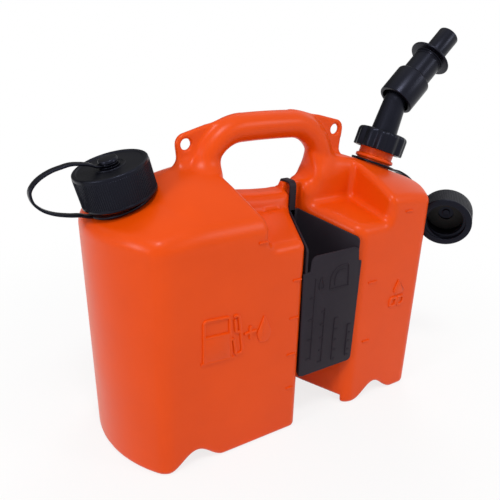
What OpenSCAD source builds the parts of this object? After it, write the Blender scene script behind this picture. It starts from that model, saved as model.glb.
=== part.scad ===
// Combination fuel can: a fuel tank and an oil tank blown as one moulding, with a carry handle,
// two tethered screw caps, a sliding pour spout on the oil neck and a tool tray in the gap.
// Millimetres. Origin on the floor under the middle of the body, +X to the oil tank, -Y to the front.

/* [Body] */
// Length of the flat front face between its end edges
front_l = 291.4; // [280:0.2:300]
// Depth of the body from front to back
body_d = 151; // [148:1:156]
// How far the fuel end bows out past the front face, at the shoulder
end_bow = 34; // [30:0.5:38]
// How far the oil end, whose front face is longer, bows out at the shoulder
oil_bow = 24.5; // [22:0.5:30]
// How much further in the fuel end is at the floor
end_taper = 8; // [4:0.5:14]
// How much further in the oil end is at the floor
oil_taper = 4; // [2:0.5:8]
// Height of the shoulder edge that runs round the body
shoulder_z = 225; // [220:0.5:232]
// Slope of the front and back roof planes
roof_slope = 28.8; // [25:0.1:32]
// Slope of the end roofs, and tilt of the oil neck
end_slope = 20.5; // [17:0.1:23]
// Thickness of the blown wall
wall = 2.5; // [1.8:0.1:3.2]
// Rounding of the upright edges at the ends
edge_r = 12; // [6:0.5:16]
// Rounding of the shoulder edge
shoulder_r = 13; // [6:0.5:18]
// Rounding of the bottom edge
foot_r = 5; // [3:0.5:9]

/* [Gap between the tanks] */
// Middle of the gap along X
slot_x = 30.5; // [26:0.5:34]
// Width of the gap at the front face
slot_mouth = 67.7; // [62:0.1:74]
// Width of the gap at its narrow inner end
slot_neck = 16; // [14:0.5:20]
// Half of the depth of the joint between the tanks, where the gap ends
slot_end = 11; // [9:0.5:13]
// Rounding of the gap's upright edges
slot_r = 10; // [6:0.5:14]
// Thickness of the pinched web that joins the tanks
web_t = 8; // [4:0.5:12]
// Height of the top of the web
web_top = 234.5; // [226:0.5:238]
// Height of the lower edge of the web
web_base = 12; // [6:1:30]

/* [Recess over the gap] */
// Left end of the recess at the front face
recess_left = -38; // [-44:1:-30]
// Right end of the recess at the front face
recess_right = 102; // [96:1:108]
// How far the left wall runs out towards the back of the recess
recess_flare = 18; // [8:1:20]
// How far the right wall runs in towards the back of the recess
recess_draft = 5; // [2:1:12]
// Height of the recess floor at the front face
recess_front_z = 201; // [192:1:206]
// Height of the recess floor at the spine
recess_back_z = 214; // [208:1:220]
// Thickness of the spine that stays between the two recesses
spine_t = 37.2; // [32:0.2:42]
// Rounding of the recess corners seen from above
recess_r = 7; // [3:0.5:10]
// Height of the saddle under the handle
saddle_z = 230; // [226:0.5:235]
// Height of the spine's bevelled edge beside the gap, on the oil side
bevel_z = 238; // [236:0.5:242]
// Rise of that edge towards the oil neck
bevel_rise = 9; // [4:0.5:12]
// Slope of the bevel over that edge
bevel_slope = 61; // [50:1:70]

/* [Underside] */
// Distance of the fuel side's cross groove from the middle
fuel_arch_x = 114; // [108:1:118]
// Distance of the oil side's cross groove from the middle
oil_arch_x = 105; // [102:1:110]
// Width of a cross groove on the floor
arch_w = 58; // [50:1:62]
// Height of a cross groove
arch_h = 15.5; // [10:0.5:18]
// Height of the raised underside along the gap
lift_h = 8.8; // [6:0.2:10]
// How far the raised underside reaches in from the gap
lift_w = 12; // [8:1:14]
// Distance of the raised underside from the front and back faces
lift_edge = 8; // [6:1:12]

/* [Carry handle] */
// Diameter of the grip
grip_d = 26.5; // [24:0.5:30]
// Wall of the hollow grip
grip_wall = 3; // [2:0.5:5]
// Height of the top of the grip
handle_top = 305.5; // [298:0.5:315]
// Distance of the two legs from the middle
leg_x = 68.5; // [66:0.5:74]
// Bend radius of the grip's middle line
handle_bend = 40; // [34:0.5:46]
// Thickness of the lashing ears
ear_t = 5; // [3:0.5:8]
// Hole in a lashing ear
ear_hole_d = 10.5; // [6:0.5:12]
// Radius of the ear around its hole
ear_r = 10; // [8.5:0.5:13]
// Distance of the ear holes outside the legs' middle lines
ear_out = 15.9; // [15:0.1:20]
// Distance of the ear holes below the top of the grip
ear_down = 23.5; // [20:0.5:28]

/* [Necks] */
// Distance of the oil neck in from the end of the shoulder
neck_inset = 36.7; // [34:0.1:40]
// Distance of the fuel neck in from the end of the shoulder
fuel_neck_inset = 34.7; // [33:0.1:38]
// Tilt of the fuel neck
fuel_tilt = 15.5; // [14:0.5:20]
// Outer diameter of the fuel neck
fuel_neck_d = 47; // [44:0.5:49]
// Height of the fuel neck
fuel_neck_h = 30.4; // [29:0.1:33]
// Outer diameter of the oil neck
oil_neck_d = 37; // [35:0.5:39]
// Height of the oil neck
oil_neck_h = 29.7; // [28:0.1:32]
// Wall of the necks
neck_wall = 3; // [2.5:0.1:4]
// Depth of the screw threads
thread_depth = 2.5; // [2:0.1:3]
// Pitch of the screw threads
thread_pitch = 4.5; // [4:0.1:5]
// Width of a thread at its root
thread_root = 1.9; // [1.5:0.1:2.2]
// Width of a thread at its crest
thread_crest = 0.9; // [0.5:0.1:1.2]
// Turns of thread on a neck
thread_turns = 2; // [1.5:0.25:2.5]
// Clearance between a neck thread and the cap on it
thread_clear = 0.5; // [0.4:0.05:0.8]
// Thickness of the sealing rings
gasket_t = 1.6; // [1:0.1:2.4]
// Height of the bead round a neck
bead_h = 2.6; // [2:0.1:3.2]

/* [Caps] */
// Diameter of the fuel cap
fuel_cap_d = 66; // [64:0.5:70]
// Gap between the fuel cap and the ring under it
cap_gap = 0.4; // [0.3:0.1:1]
// Diameter of the oil cap
oil_cap_d = 56; // [53:0.5:60]
// Height of the oil cap
oil_cap_h = 25; // [22:0.5:28]
// Thickness of a cap's top
cap_top = 3.2; // [2.6:0.1:4]
// Depth of the dished part of a cap's top
cap_dish = 1; // [0.5:0.1:1.4]
// Width of a cap's raised rim
cap_rim = 4; // [2.5:0.5:6]

/* [Tethers] */
// Width of the straps
strap_w = 7.6; // [6:0.1:9]
// Thickness of the straps
strap_t = 2.2; // [1.6:0.1:2.8]
// Thickness of the rings round the necks
ring_t = 2.4; // [1.8:0.1:2.8]
// Width of the rings round the necks
ring_w = 5; // [4:0.5:6]
// Running clearance of the rings on the necks
ring_clear = 0.5; // [0.3:0.1:1]
// Diameter of the domed head of a tether button
button_d = 18; // [16:0.5:20]
// Height of the post between cap and strap eye
button_post = 2.4; // [1.6:0.2:4]
// Height of the dome over the strap eye
button_dome = 3; // [2:0.2:4]
// Diameter of a button's stem
button_stem_d = 6; // [5:0.2:7]
// Running clearance of a stem in its cap
stem_clear = 0.08; // [0.02:0.01:0.1]
// Outer diameter of a strap's eye
eye_d = 16; // [13:0.5:17]
// Clearance between a strap's eye and what it lies on
eye_clear = 0.3; // [0.2:0.05:0.5]
// How far the fuel strap's loop stands out past its ring
loop_out = 39.2; // [36:0.2:42]
// How far the fuel strap's loop stands over its eye
loop_rise = 9.8; // [8:0.2:13]
// Place of the hanging oil cap's top, out from the oil neck
oil_cap_out = 77.5; // [74:0.5:82]
// Place of the hanging oil cap's top, to the front of the oil neck
oil_cap_front = 56; // [52:0.5:60]
// Place of the hanging oil cap's top, below the foot of the oil neck
oil_cap_drop = 21.5; // [17:0.5:25]
// Turn of the hanging cap's mouth, seen from above
oil_cap_turn = 218; // [210:1:226]
// Dip of the hanging cap's mouth below level
oil_cap_dip = 14; // [8:1:20]

/* [Spout] */
// Diameter of the union nut over its lobes
nut_d = 54; // [51:0.5:58]
// Height of the union nut
nut_h = 20.8; // [19:0.1:23]
// Thickness of the nut's top
nut_top = 3; // [2:0.1:4]
// Number of lobes round the nut
nut_lobes = 12; // [8:1:16]
// Thickness of the spout's foot
foot_t = 2; // [1.5:0.1:3]
// Outer diameter of the spout at the nut
spout_base_d = 29; // [27:0.5:31]
// Outer diameter of the spout at the bend
spout_bend_d = 25; // [24:0.5:27]
// Bore of the lower spout
spout_bore = 20; // [18:0.5:21]
// Height of the bend over the foot of the neck
bend_h = 72.4; // [66:0.2:78]
// Bend radius of the spout's middle line
bend_r = 20; // [16:0.5:24]
// Slope of the upper spout away from upright
upper_tilt = 47; // [42:0.5:52]
// Outer diameter of the collar
collar_d = 39; // [37:0.5:42]
// Length of the collar past the bend
collar_l = 32; // [28:0.5:36]
// How far the collar hangs back past the bend
collar_back = 1; // [0:0.5:3]
// Place of the web inside the collar
collar_web_u = 8; // [7:0.5:10]
// Thickness of that web
collar_web_t = 2; // [1.5:0.1:3]
// Outer diameter of the slider
slider_d = 31.4; // [30:0.1:33]
// Wall of the slider
slider_wall = 2; // [1.6:0.1:2.2]
// Gap between slider and collar
slider_clear = 0.35; // [0.3:0.05:0.5]
// How far the slider moves in
slide_travel = 12; // [8:0.5:13]
// Room left under the slider when it is pushed in
slide_room = 2; // [1:0.5:3]
// Diameter of the slider's flange
flange_d = 47; // [43:0.5:50]
// Thickness of the slider's flange
flange_t = 2.7; // [2:0.1:4]
// Distance from the bend to the top of the flange
flange_u = 62; // [58:0.5:66]
// Distance from the bend to the end of the tip
tip_u = 95; // [88:0.5:102]
// Outer diameter of the tip
tip_d = 23.4; // [22.5:0.1:25]
// Wall of the tip
tip_wall = 2; // [1.5:0.1:2.5]
// Wire of the return spring
spring_wire = 1.4; // [1:0.1:1.8]
// Turns of the return spring
spring_turns = 7; // [4:1:9]
// Diameter of the valve disc
valve_d = 15; // [14:0.5:16]
// Diameter of the valve stem
valve_stem_d = 4; // [3:0.5:5]
// Outer diameter of the vent tube
vent_d = 4.4; // [3.5:0.1:5]
// Seating gap between pieces that lie on each other
seat_gap = 0.3; // [0.2:0.05:0.4]
// Gap of a pressed fit
press_gap = 0.05; // [0.02:0.01:0.1]

/* [Tool tray] */
// Gap between the tray and the tanks
tray_clear = 1.5; // [1:0.1:2.5]
// Wall of the tray
tray_wall = 2; // [1.5:0.1:2.5]
// Height of the underside of the tray
tray_base = 58; // [40:1:80]
// How far the tray's face stands out in front of the tanks
tray_proud = 1.6; // [1.2:0.1:2.6]
// Offset of the face's middle from the middle of the gap
tray_off = 0.7; // [0:0.1:1]
// Width of the face at its bottom
tray_low_w = 66.6; // [65.6:0.2:68]
// Width of the face at its shoulders
tray_w = 70.8; // [68:0.2:71]
// Height of the shoulders of the tray's face
tray_shoulder = 169; // [160:1:174]
// Height of the top of the tray's face
tray_top = 184.8; // [181:0.1:188]
// Width of the face above its shoulders
tray_upper_w = 57.4; // [52:0.2:60]
// Offset of that upper part from the face's middle
tray_upper_off = 2; // [0:0.5:3]
// Rounding of the face's upper corners
tray_r = 7; // [3:0.5:9]
// Rounding of the tray's lower edges
tray_low_r = 5; // [3:0.5:8]
// Height of the side walls at the back
tray_back_z = 208; // [202:1:214]
// Height of the side walls at the front
tray_side_z = 193; // [189:1:198]
// Rounding of the side walls' front corners
tray_side_r = 5; // [2:0.5:8]
// Offset of the hook from the middle of the gap
hook_off = -2.5; // [-3:0.5:3]
// How far the hook reaches down behind the web
hook_drop = 9; // [5:0.5:14]

/* [Hidden] */
$fn = 64;
body_orange = "#e8531f";
black_plastic = "#1d1d22";
black_rubber = "#141416";
tray_grey = "#3f3a42";
steel = "#a9adb2";
BIG = 600;
half_d = body_d / 2;
end_x = front_l / 2 + end_bow;
low_bow = end_bow - end_taper;
taper_clear = 0.6;
ridge_z = shoulder_z + half_d * tan(roof_slope);
open_z = ridge_z + 9;
slot_a = atan((slot_mouth - slot_neck) / 2 / (half_d - slot_end));
neck_x = end_x - neck_inset;
neck_z = shoulder_z + neck_inset * tan(end_slope);
fuel_neck_x = end_x - fuel_neck_inset;
fuel_neck_z = shoulder_z + fuel_neck_inset * tan(end_slope);
grip_z = handle_top - grip_d / 2;
leg_in = leg_x - grip_d / 2;
leg_low = saddle_z;
thread_sunk = 0.4;
thread_end = 4;
neck_root = -3;

// Neck, cap and ring radii
fuel_thread_r = fuel_neck_d / 2 + thread_depth;
oil_thread_r = oil_neck_d / 2 + thread_depth;
fuel_cap_high = fuel_neck_h + gasket_t + cap_top;
nut_low = oil_neck_h + gasket_t + foot_t + seat_gap + nut_top - nut_h;
thread_rise = thread_turns * thread_pitch;
fuel_thread_low = fuel_neck_h - thread_end - thread_rise;
oil_thread_low = oil_neck_h - thread_end - thread_rise;
ring_low = 1.4;
fuel_ring_r = fuel_neck_d / 2 + ring_clear;
oil_ring_r = oil_neck_d / 2 + ring_clear;
bead_out = thread_depth - 0.2;
ring_lift = 0.5;
fuel_ring_low = ring_lift + (fuel_ring_r + ring_w) * tan(end_slope - fuel_tilt);
fuel_cap_low = fuel_ring_low + ring_t + cap_gap;
fuel_cap_h = fuel_cap_high - fuel_cap_low;
fuel_bead_z = fuel_cap_low + 1.4;
oil_bead_z = ring_low + ring_t + 2;
eye_low = button_post + eye_clear;
eye_high = eye_low + strap_t;
dome_low = eye_high + eye_clear;

// Course of the fuel strap: parts of its reach and rise, then parts of the eye's radius and the rise over it
loop_shape = [[-0.05, 0], [0.19, 0], [0.41, 0.08], [0.65, 0.2], [0.83, 0.33], [0.94, 0.46], [1, 0.6],
    [0.98, 0.775], [0.86, 0.885], [0.68, 0.96], [0.45, 1], [0.24, 1], [0.03, 0.985]];
loop_end = [[2.8, 0.7], [2, 0.42], [1.4, 0.1], [0.8, 0]];

// Spout places, along the lower axis from the neck and along the upper axis from the bend
foot_low = oil_neck_h + gasket_t;
collar_r_in = slider_d / 2 + slider_clear;
collar_web_top = collar_web_u + collar_web_t;
slider_low = collar_web_top + slide_room + slide_travel;
flange_low = flange_u - flange_t;
slider_in_r = slider_d / 2 - slider_wall;
spigot_step = 0.5;
spigot_r = tip_d / 2 - spigot_step;
socket_r = spigot_r + press_gap;
tip_edge = 0.8;
tip_bore_r = tip_d / 2 - tip_wall;
stop_t = 3;
socket_low = flange_low - 16;
stop_low = socket_low - stop_t;
tip_low = socket_low + seat_gap;
valve_t = 2;
valve_seat_t = 2;
valve_high = tip_u - 4;
valve_low = valve_high - valve_t;
valve_seat_r = valve_d / 2 - 1.5;
spider_t = 3;
spider_u = collar_web_top - spider_t;
spring_low = collar_web_top + seat_gap;
spring_high = stop_low - seat_gap;
spring_r = slider_in_r - spring_wire / 2 - 0.6;
o_ring_r = 0.8;
o_ring_u = slider_low + 4;
o_ring_fit = 0.08;
groove_r = collar_r_in - o_ring_fit - 2 * o_ring_r - press_gap;
groove_half = o_ring_r * 1.2;
slider_bore_r = slider_in_r - 0.4;
bend_leg = bend_r * tan((upper_tilt - end_slope) / 2);
stub_step = 0.6;
stub_u = bend_leg - 1.5;
spider_r = (spout_bore + stub_step) / 2 - press_gap;

// Tray outline behind its face
tray_in_y = -slot_end + 1;
hook_x = slot_x + hook_off;

// Outlines
function unit(v) = v / norm(v);

function fillet(a, b, c, r, steps = 6) =
    let (u = unit(a - b), v = unit(c - b), half = acos(u * v) / 2)
    let (centre = b + unit(u + v) * r / sin(half))
    let (p = b + u * r / tan(half) - centre, q = b + v * r / tan(half) - centre)
    let (a0 = atan2(p[1], p[0]), a1 = atan2(q[1], q[0]))
    let (turn = (a1 - a0 + 540) % 360 - 180)
    [for (i = [0:steps]) centre + r * [cos(a0 + turn * i / steps), sin(a0 + turn * i / steps)]];

// Corners are [x, y, rounding]
function rounded(corners) =
    let (n = len(corners), at = [for (c = corners) [c[0], c[1]]])
    [for (i = [0:n - 1])
        each corners[i][2] > 0
            ? fillet(at[(i + n - 1) % n], at[i], at[(i + 1) % n], corners[i][2])
            : [at[i]]];

function arc(centre, r, from, to, steps) =
    [for (i = [0:steps]) let (a = from + (to - from) * i / steps) centre + r * [cos(a), sin(a)]];

// How far the end of a tank bows out at the shoulder
function bow_of(side) = side > 0 ? oil_bow : end_bow;

// Radius of an arc that is as wide as the body is deep and bows out by the given amount
function bow_radius(bow) = (half_d * half_d + bow * bow) / (2 * bow);

// Half width of the gap between the tanks at a distance y from the middle plane
function slot_half(y) = slot_mouth / 2 - tan(slot_a) * (half_d - y);

// Smooth curve through points, with the given number of steps between two of them
function spline(p, steps) =
    let (last = len(p) - 1)
    [for (i = [0:last - 1], k = [0:i == last - 1 ? steps : steps - 1])
        let (t = k / steps, p0 = p[max(i - 1, 0)], p1 = p[i], p2 = p[i + 1], p3 = p[min(i + 2, last)])
        0.5 * (2 * p1 + (p2 - p0) * t + (2 * p0 - 5 * p1 + 4 * p2 - p3) * t * t
            + (3 * p1 - p0 - 3 * p2 + p3) * t * t * t)];

function tangents(p) = [for (i = [0:len(p) - 1]) unit(p[min(i + 1, len(p) - 1)] - p[max(i - 1, 0)])];

// Seen from above, one tank with its walls moved in by inset
function tank_plan(side, inset) =
    let (h = half_d - inset, r = edge_r - inset, round_y = -(half_d - edge_r))
    let (bow_r = bow_radius(bow_of(side)), bow_x = side * (end_x - bow_r))
    let (round_x = bow_x + side * sqrt(pow(bow_r - edge_r, 2) - round_y * round_y))
    let (meet = atan2(round_y, side * (round_x - bow_x)))
    let (slot_in = slot_x + side * inset / cos(slot_a))
    let (corner = arc([0, 0], r, -90, meet, 5), bow = arc([0, 0], bow_r - inset, meet, -meet, 22))
    let (front = [slot_in + side * slot_half(h), -h])
    let (inner = [slot_x + side * (slot_neck / 2 + inset), -slot_end])
    concat(
        fillet(inner, front, [side * end_x, -h], slot_r - inset),
        [for (p = corner) [round_x + side * p[0], round_y + p[1]]],
        [for (p = bow) [bow_x + side * p[0], p[1]]],
        [for (i = [len(corner) - 1:-1:0]) [round_x + side * corner[i][0], -round_y - corner[i][1]]],
        [for (p = fillet([side * end_x, h], [front[0], h], [inner[0], slot_end], slot_r - inset)) p],
        [[inner[0], slot_end], inner]);

// Building blocks
module along_x(from, to) {
    translate([from, 0, 0]) rotate([90, 0, 90]) linear_extrude(to - from) children();
}

module along_y(from, to) {
    translate([0, to, 0]) rotate([90, 0, 0]) linear_extrude(to - from) children();
}

// Children are drawn upright on the foot of a neck: side -1 is the fuel neck, 1 the oil neck
module on_neck(side) {
    foot = side < 0 ? [-fuel_neck_x, 0, fuel_neck_z] : [neck_x, 0, neck_z];
    translate(foot) rotate([0, side < 0 ? -fuel_tilt : end_slope, 0]) children();
}

// Children are drawn along the upper spout, from the bend outwards
module on_spout() {
    on_neck(1) translate([0, 0, bend_h]) rotate([0, upper_tilt - end_slope, 0]) children();
}

// Children are drawn from the closed top of the hanging oil cap towards its mouth
module on_oil_cap() {
    on_neck(1) translate([oil_cap_out, -oil_cap_front, -oil_cap_drop])
        rotate([0, -end_slope, 0]) rotate([0, 90 + oil_cap_dip, oil_cap_turn]) children();
}

module tube(r_out, r_in, from, to) {
    translate([0, 0, from]) difference() {
        cylinder(r = r_out, h = to - from);
        translate([0, 0, -1]) cylinder(r = r_in, h = to - from + 2);
    }
}

// One screw thread between a root and a crest radius, starting at the height from
module thread(root_r, crest_r, from, steps = 20) {
    n = round(steps * thread_turns);
    crests = [for (i = [0:n]) root_r + (crest_r - root_r) * min(1, 0.25 + min(i, n - i) / 3)];
    points = [for (i = [0:n])
        let (a = 360 * thread_turns * i / n, z = from + thread_pitch * thread_turns * i / n)
        each [for (q = [[root_r, -thread_root / 2], [crests[i], -thread_crest / 2],
                [crests[i], thread_crest / 2], [root_r, thread_root / 2]])
            [q[0] * cos(a), q[0] * sin(a), z + q[1]]]];
    sides = [for (i = [0:n - 1], k = [0:3])
        let (a = 4 * i + k, b = 4 * i + (k + 1) % 4)
        each [[a, b + 4, b], [a, a + 4, b + 4]]];
    ends = [[0, 1, 2], [0, 2, 3], [4 * n, 4 * n + 2, 4 * n + 1], [4 * n, 4 * n + 3, 4 * n + 2]];
    turned = crest_r > root_r;
    faces = concat(sides, ends);
    polyhedron(points, turned ? [for (f = faces) [f[2], f[1], f[0]]] : faces, convexity = 6);
}

// Flat strap swept along points, its width turning from one direction to another
module strap(path, wide_from, wide_to) {
    n = len(path) - 1;
    ways = tangents(path);
    points = [for (i = [0:n])
        let (wide = wide_from + (wide_to - wide_from) * i / n)
        let (across = unit(wide - (wide * ways[i]) * ways[i]), up = cross(across, ways[i]))
        each [for (q = [[-1, -1], [1, -1], [1, 1], [-1, 1]])
            path[i] + across * q[0] * strap_w / 2 + up * q[1] * strap_t / 2]];
    sides = [for (i = [0:n - 1], k = [0:3])
        let (a = 4 * i + k, b = 4 * i + (k + 1) % 4)
        each [[a, b, b + 4], [a, b + 4, a + 4]]];
    ends = [[0, 2, 1], [0, 3, 2], [4 * n, 4 * n + 1, 4 * n + 2], [4 * n, 4 * n + 2, 4 * n + 3]];
    polyhedron(points, concat(sides, ends), convexity = 4);
}

// Body of one tank with its walls moved in by inset
module tank_form(side, inset) {
    h = half_d - inset;
    low_r = max(foot_r - inset, 1);
    crown_r = bow_radius(bow_of(side) * sin(end_slope));
    taper = side > 0 ? oil_taper : end_taper;
    lean = atan(taper / shoulder_z);
    low_bow_r = bow_radius(side > 0 ? oil_bow : low_bow);
    high = shoulder_z - inset * tan((90 - roof_slope) / 2);
    roof = rounded([[h, inset, low_r], [h, high, shoulder_r], [0, ridge_z - inset / cos(roof_slope), 0],
        [-h, high, shoulder_r], [-h, inset, low_r]]);
    difference() {
        intersection() {
            linear_extrude(ridge_z) polygon(tank_plan(side, inset));
            along_x(-BIG, BIG) polygon(roof);
            translate([side * (end_x - taper + taper_clear), 0, 0]) rotate([0, side * lean, 0])
                translate([-side * low_bow_r, 0, -BIG / 4])
                    cylinder(r = low_bow_r - inset, h = BIG, $fn = 128);
            translate([side * end_x, 0, shoulder_z]) rotate([0, side * end_slope, 0])
                translate([-side * BIG / 3, 0, -crown_r]) rotate([0, 90, 0])
                    cylinder(r = crown_r - inset, h = 2 * BIG, center = true, $fn = 128);
        }
        saddle_cut(inset);
        for (face = [-1, 1]) {
            recess_cut(face, inset);
            bevel_cut(face, inset);
        }
        arch_cut(side, inset);
        lift_cut(side, inset);
    }
}

// Space under the handle, between its legs
module saddle_cut(inset) {
    left = -leg_in - inset;
    right = leg_in + inset;
    along_y(-BIG / 4, BIG / 4) polygon(rounded([[left, open_z, 0], [left, saddle_z + 3 - inset, 8],
        [left + 20, saddle_z - inset, 30], [slot_x, saddle_z + 3 - inset, 0],
        [right, saddle_z + 9 - inset, 6], [right, open_z, 0]]));
}

// Space over the gap, on the front (face -1) or the back (face 1)
module recess_cut(face, inset) {
    back = spine_t / 2 - inset;
    out = half_d + 5;
    fall = (recess_back_z - recess_front_z) / (half_d - spine_t / 2);
    plan = rounded([[recess_left - inset, out, 0], [recess_left - recess_flare - inset, back, recess_r],
        [recess_right - recess_draft + inset, back, recess_r], [recess_right + inset, out, 0]]);
    intersection() {
        linear_extrude(open_z) polygon([for (p = plan) [p[0], face * p[1]]]);
        along_x(-BIG / 2, BIG / 2) polygon([[face * back, recess_back_z - inset],
            [face * out, recess_back_z - inset - fall * (out - back)], [face * out, open_z],
            [face * back, open_z]]);
    }
}

// Bevel along the spine's upper edge on the oil side, on the front (face -1) or the back (face 1)
module bevel_cut(face, inset) {
    edge = face * spine_t / 2;
    out = edge + face * recess_r;
    run = (recess_right - recess_draft + inset - slot_x) / cos(bevel_rise);
    fall = recess_r * tan(bevel_slope);
    high = open_z - bevel_z;
    translate([slot_x, 0, bevel_z - inset / cos(bevel_slope)]) rotate([0, -bevel_rise, 0])
        along_x(0, run) polygon([[out, -fall], [out, high], [edge - face * high / tan(bevel_slope), high]]);
}

// Cross groove under a tank, with soft flanks
module arch_cut(side, inset) {
    middle = side < 0 ? -fuel_arch_x : oil_arch_x;
    along_y(-BIG / 4, BIG / 4) polygon(concat(
        [for (i = [-9:9]) [middle + (arch_w / 2 + inset) * i / 9,
            arch_h / 2 * (1 + cos(20 * i)) - 0.01 + inset]],
        [[middle + arch_w / 2 + inset, -1], [middle - arch_w / 2 - inset, -1]]));
}

// Space under a tank along the gap
module lift_cut(side, inset) {
    reach = half_d - lift_edge;
    far = slot_x + side * (slot_half(reach) + lift_w + inset);
    near = slot_x + side * (slot_neck / 2 + lift_w + inset);
    translate([0, 0, -1]) linear_extrude(lift_h + inset + 1)
        polygon([[slot_x, -reach - inset], [far, -reach - inset], [near, -slot_end], [near, slot_end],
            [far, reach + inset], [slot_x, reach + inset]]);
}

// Neck with its bead and thread, still without its bore
module neck_form(neck_d, neck_h, bead_z) {
    translate([0, 0, neck_root]) cylinder(d = neck_d, h = neck_h - neck_root);
    half = bead_h / 2;
    rotate_extrude() translate([neck_d / 2 - 1, bead_z])
        polygon(rounded([[0, -half, 0], [1 + bead_out, -half, 1.1], [1 + bead_out, half, 1.1], [0, half, 0]]));
    thread(neck_d / 2 - thread_sunk, neck_d / 2 + thread_depth, neck_h - thread_end - thread_rise);
}

module tank(side, neck_d, neck_h, bead_z) {
    difference() {
        union() {
            difference() {
                tank_form(side, 0);
                tank_form(side, wall);
            }
            on_neck(side) neck_form(neck_d, neck_h, bead_z);
        }
        on_neck(side) translate([0, 0, -5 * wall]) cylinder(d = neck_d - 2 * neck_wall, h = BIG / 4);
    }
}

// Screw cap from its closed top at 0 down to its mouth, with the hole for its tether button
module cap_form(cap_d, cap_h, thread_r, thread_from) {
    difference() {
        rotate_extrude() polygon(rounded([[0, cap_dish, 0], [cap_d / 2 - cap_rim, cap_dish, 0],
            [cap_d / 2 - cap_rim, 0, 0], [cap_d / 2, 0, 2.5], [cap_d / 2, cap_h, 0.8],
            [thread_r + thread_clear, cap_h, 0], [thread_r + thread_clear, cap_top, 0], [0, cap_top, 0]]));
        translate([0, 0, -1]) cylinder(d = button_stem_d + 2 * stem_clear, h = cap_top + 2);
    }
    thread(thread_r + thread_clear + thread_sunk, thread_r + thread_clear - thread_depth, thread_from);
}

// Sealing ring under a cap's top, from the top at 0 downwards
module cap_gasket_form(thread_r) {
    tube(thread_r - 0.4, button_stem_d / 2 + 5, cap_top, cap_top + gasket_t - 0.02);
}

// Button that holds a strap's eye to a cap: the dish of the cap is at 0 and the dome above it
module button_form() {
    stem_r = button_stem_d / 2;
    catch_z = cap_dish - cap_top - eye_clear;
    rotate_extrude() polygon(rounded([[0, catch_z - 1.2, 0], [stem_r + 1, catch_z - 1.2, 0.5],
        [stem_r + 1, catch_z, 0], [stem_r, catch_z, 0], [stem_r, eye_clear, 0],
        [button_d / 2, eye_clear, 0], [button_d / 2, button_post, 0], [stem_r, button_post, 0],
        [stem_r, dome_low, 0], [button_d / 2, dome_low, 0.6], [button_d / 2 - 1, dome_low + button_dome, 1.6],
        [0, dome_low + button_dome, 0]]));
}

module eye_form() {
    tube(eye_d / 2, button_stem_d / 2 + eye_clear, eye_low, eye_high);
}

// The blown moulding
module fuel_tank() {
    color(body_orange) tank(-1, fuel_neck_d, fuel_neck_h, fuel_bead_z);
}

module oil_tank() {
    color(body_orange) tank(1, oil_neck_d, oil_neck_h, oil_bead_z);
}

module mid_web() {
    color(body_orange) translate([slot_x - slot_neck / 2, -web_t / 2, web_base])
        cube([slot_neck, web_t, web_top - web_base]);
}

module grip_form(d) {
    run = leg_x - handle_bend;
    translate([0, 0, grip_z]) rotate([0, 90, 0]) cylinder(d = d, h = 2 * run, center = true);
    for (side = [-1, 1]) {
        translate([side * run, 0, grip_z - handle_bend]) rotate([90, 0, side < 0 ? 180 : 0])
            rotate_extrude(angle = 90) translate([handle_bend, 0]) circle(d = d);
        translate([side * leg_x, 0, leg_low]) cylinder(d = d, h = grip_z - handle_bend - leg_low);
    }
}

module carry_handle() {
    color(body_orange) difference() {
        grip_form(grip_d);
        grip_form(grip_d - 2 * grip_wall);
        for (side = [-1, 1]) tank_form(side, 0);
    }
}

// Lashing ear outside the left bend of the handle
module ear() {
    hole = [-leg_x - ear_out, handle_top - ear_down];
    mid_bend = handle_bend * (1 - sin(45));
    difference() {
        along_y(-ear_t / 2, ear_t / 2) difference() {
            union() {
                translate(hole) circle(r = ear_r);
                polygon([hole + [-ear_r * 0.97, -2.4], [hole[0] - ear_r / 2, saddle_z + 12],
                    [-leg_x, saddle_z + 12], [mid_bend - leg_x, grip_z - mid_bend],
                    [handle_bend - leg_x, handle_top - 2],
                    [4 - leg_x, handle_top - 8], hole + [-ear_r * 0.3, ear_r * 0.95]]);
            }
            translate(hole) circle(d = ear_hole_d);
        }
        grip_form(grip_d);
        tank_form(-1, 0);
    }
}

module left_ear() {
    color(body_orange) ear();
}

module right_ear() {
    color(body_orange) mirror([1, 0, 0]) ear();
}

// Fuel cap and its tether
module fuel_cap() {
    color(black_plastic) on_neck(-1) translate([0, 0, fuel_cap_high]) rotate([180, 0, 0])
        cap_form(fuel_cap_d, fuel_cap_h, fuel_thread_r, fuel_cap_high - fuel_thread_low - thread_pitch * 1.5);
}

module fuel_cap_gasket() {
    color(black_rubber) on_neck(-1) translate([0, 0, fuel_cap_high]) rotate([180, 0, 0])
        cap_gasket_form(fuel_thread_r);
}

// Ring round the fuel neck, strap in a standing loop and eye on the cap
module fuel_tether() {
    eye_z = fuel_cap_high - cap_dish + (eye_low + eye_high) / 2;
    ring_z = fuel_ring_low + ring_t / 2;
    reach = fuel_ring_r + ring_w;
    rise = eye_z + loop_rise - ring_z;
    loop = spline(concat([for (p = loop_shape) [-reach - p[0] * loop_out, 0, ring_z + p[1] * rise]],
        [for (p = loop_end) [-p[0] * eye_d / 2, 0, eye_z + p[1] * loop_rise]]), 4);
    color(black_plastic) on_neck(-1) {
        tube(reach, fuel_ring_r, fuel_ring_low, fuel_ring_low + ring_t);
        strap(loop, [0, 1, 0], [0, 1, 0]);
        translate([0, 0, fuel_cap_high - cap_dish]) eye_form();
    }
}

module fuel_tether_button() {
    color(black_plastic) on_neck(-1) translate([0, 0, fuel_cap_high - cap_dish]) button_form();
}

// Hanging oil cap and its tether
module oil_cap() {
    color(black_plastic) on_oil_cap()
        cap_form(oil_cap_d, oil_cap_h, oil_thread_r, oil_cap_h - 2 - thread_rise);
}

module oil_cap_gasket() {
    color(black_rubber) on_oil_cap() cap_gasket_form(oil_thread_r);
}

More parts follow.
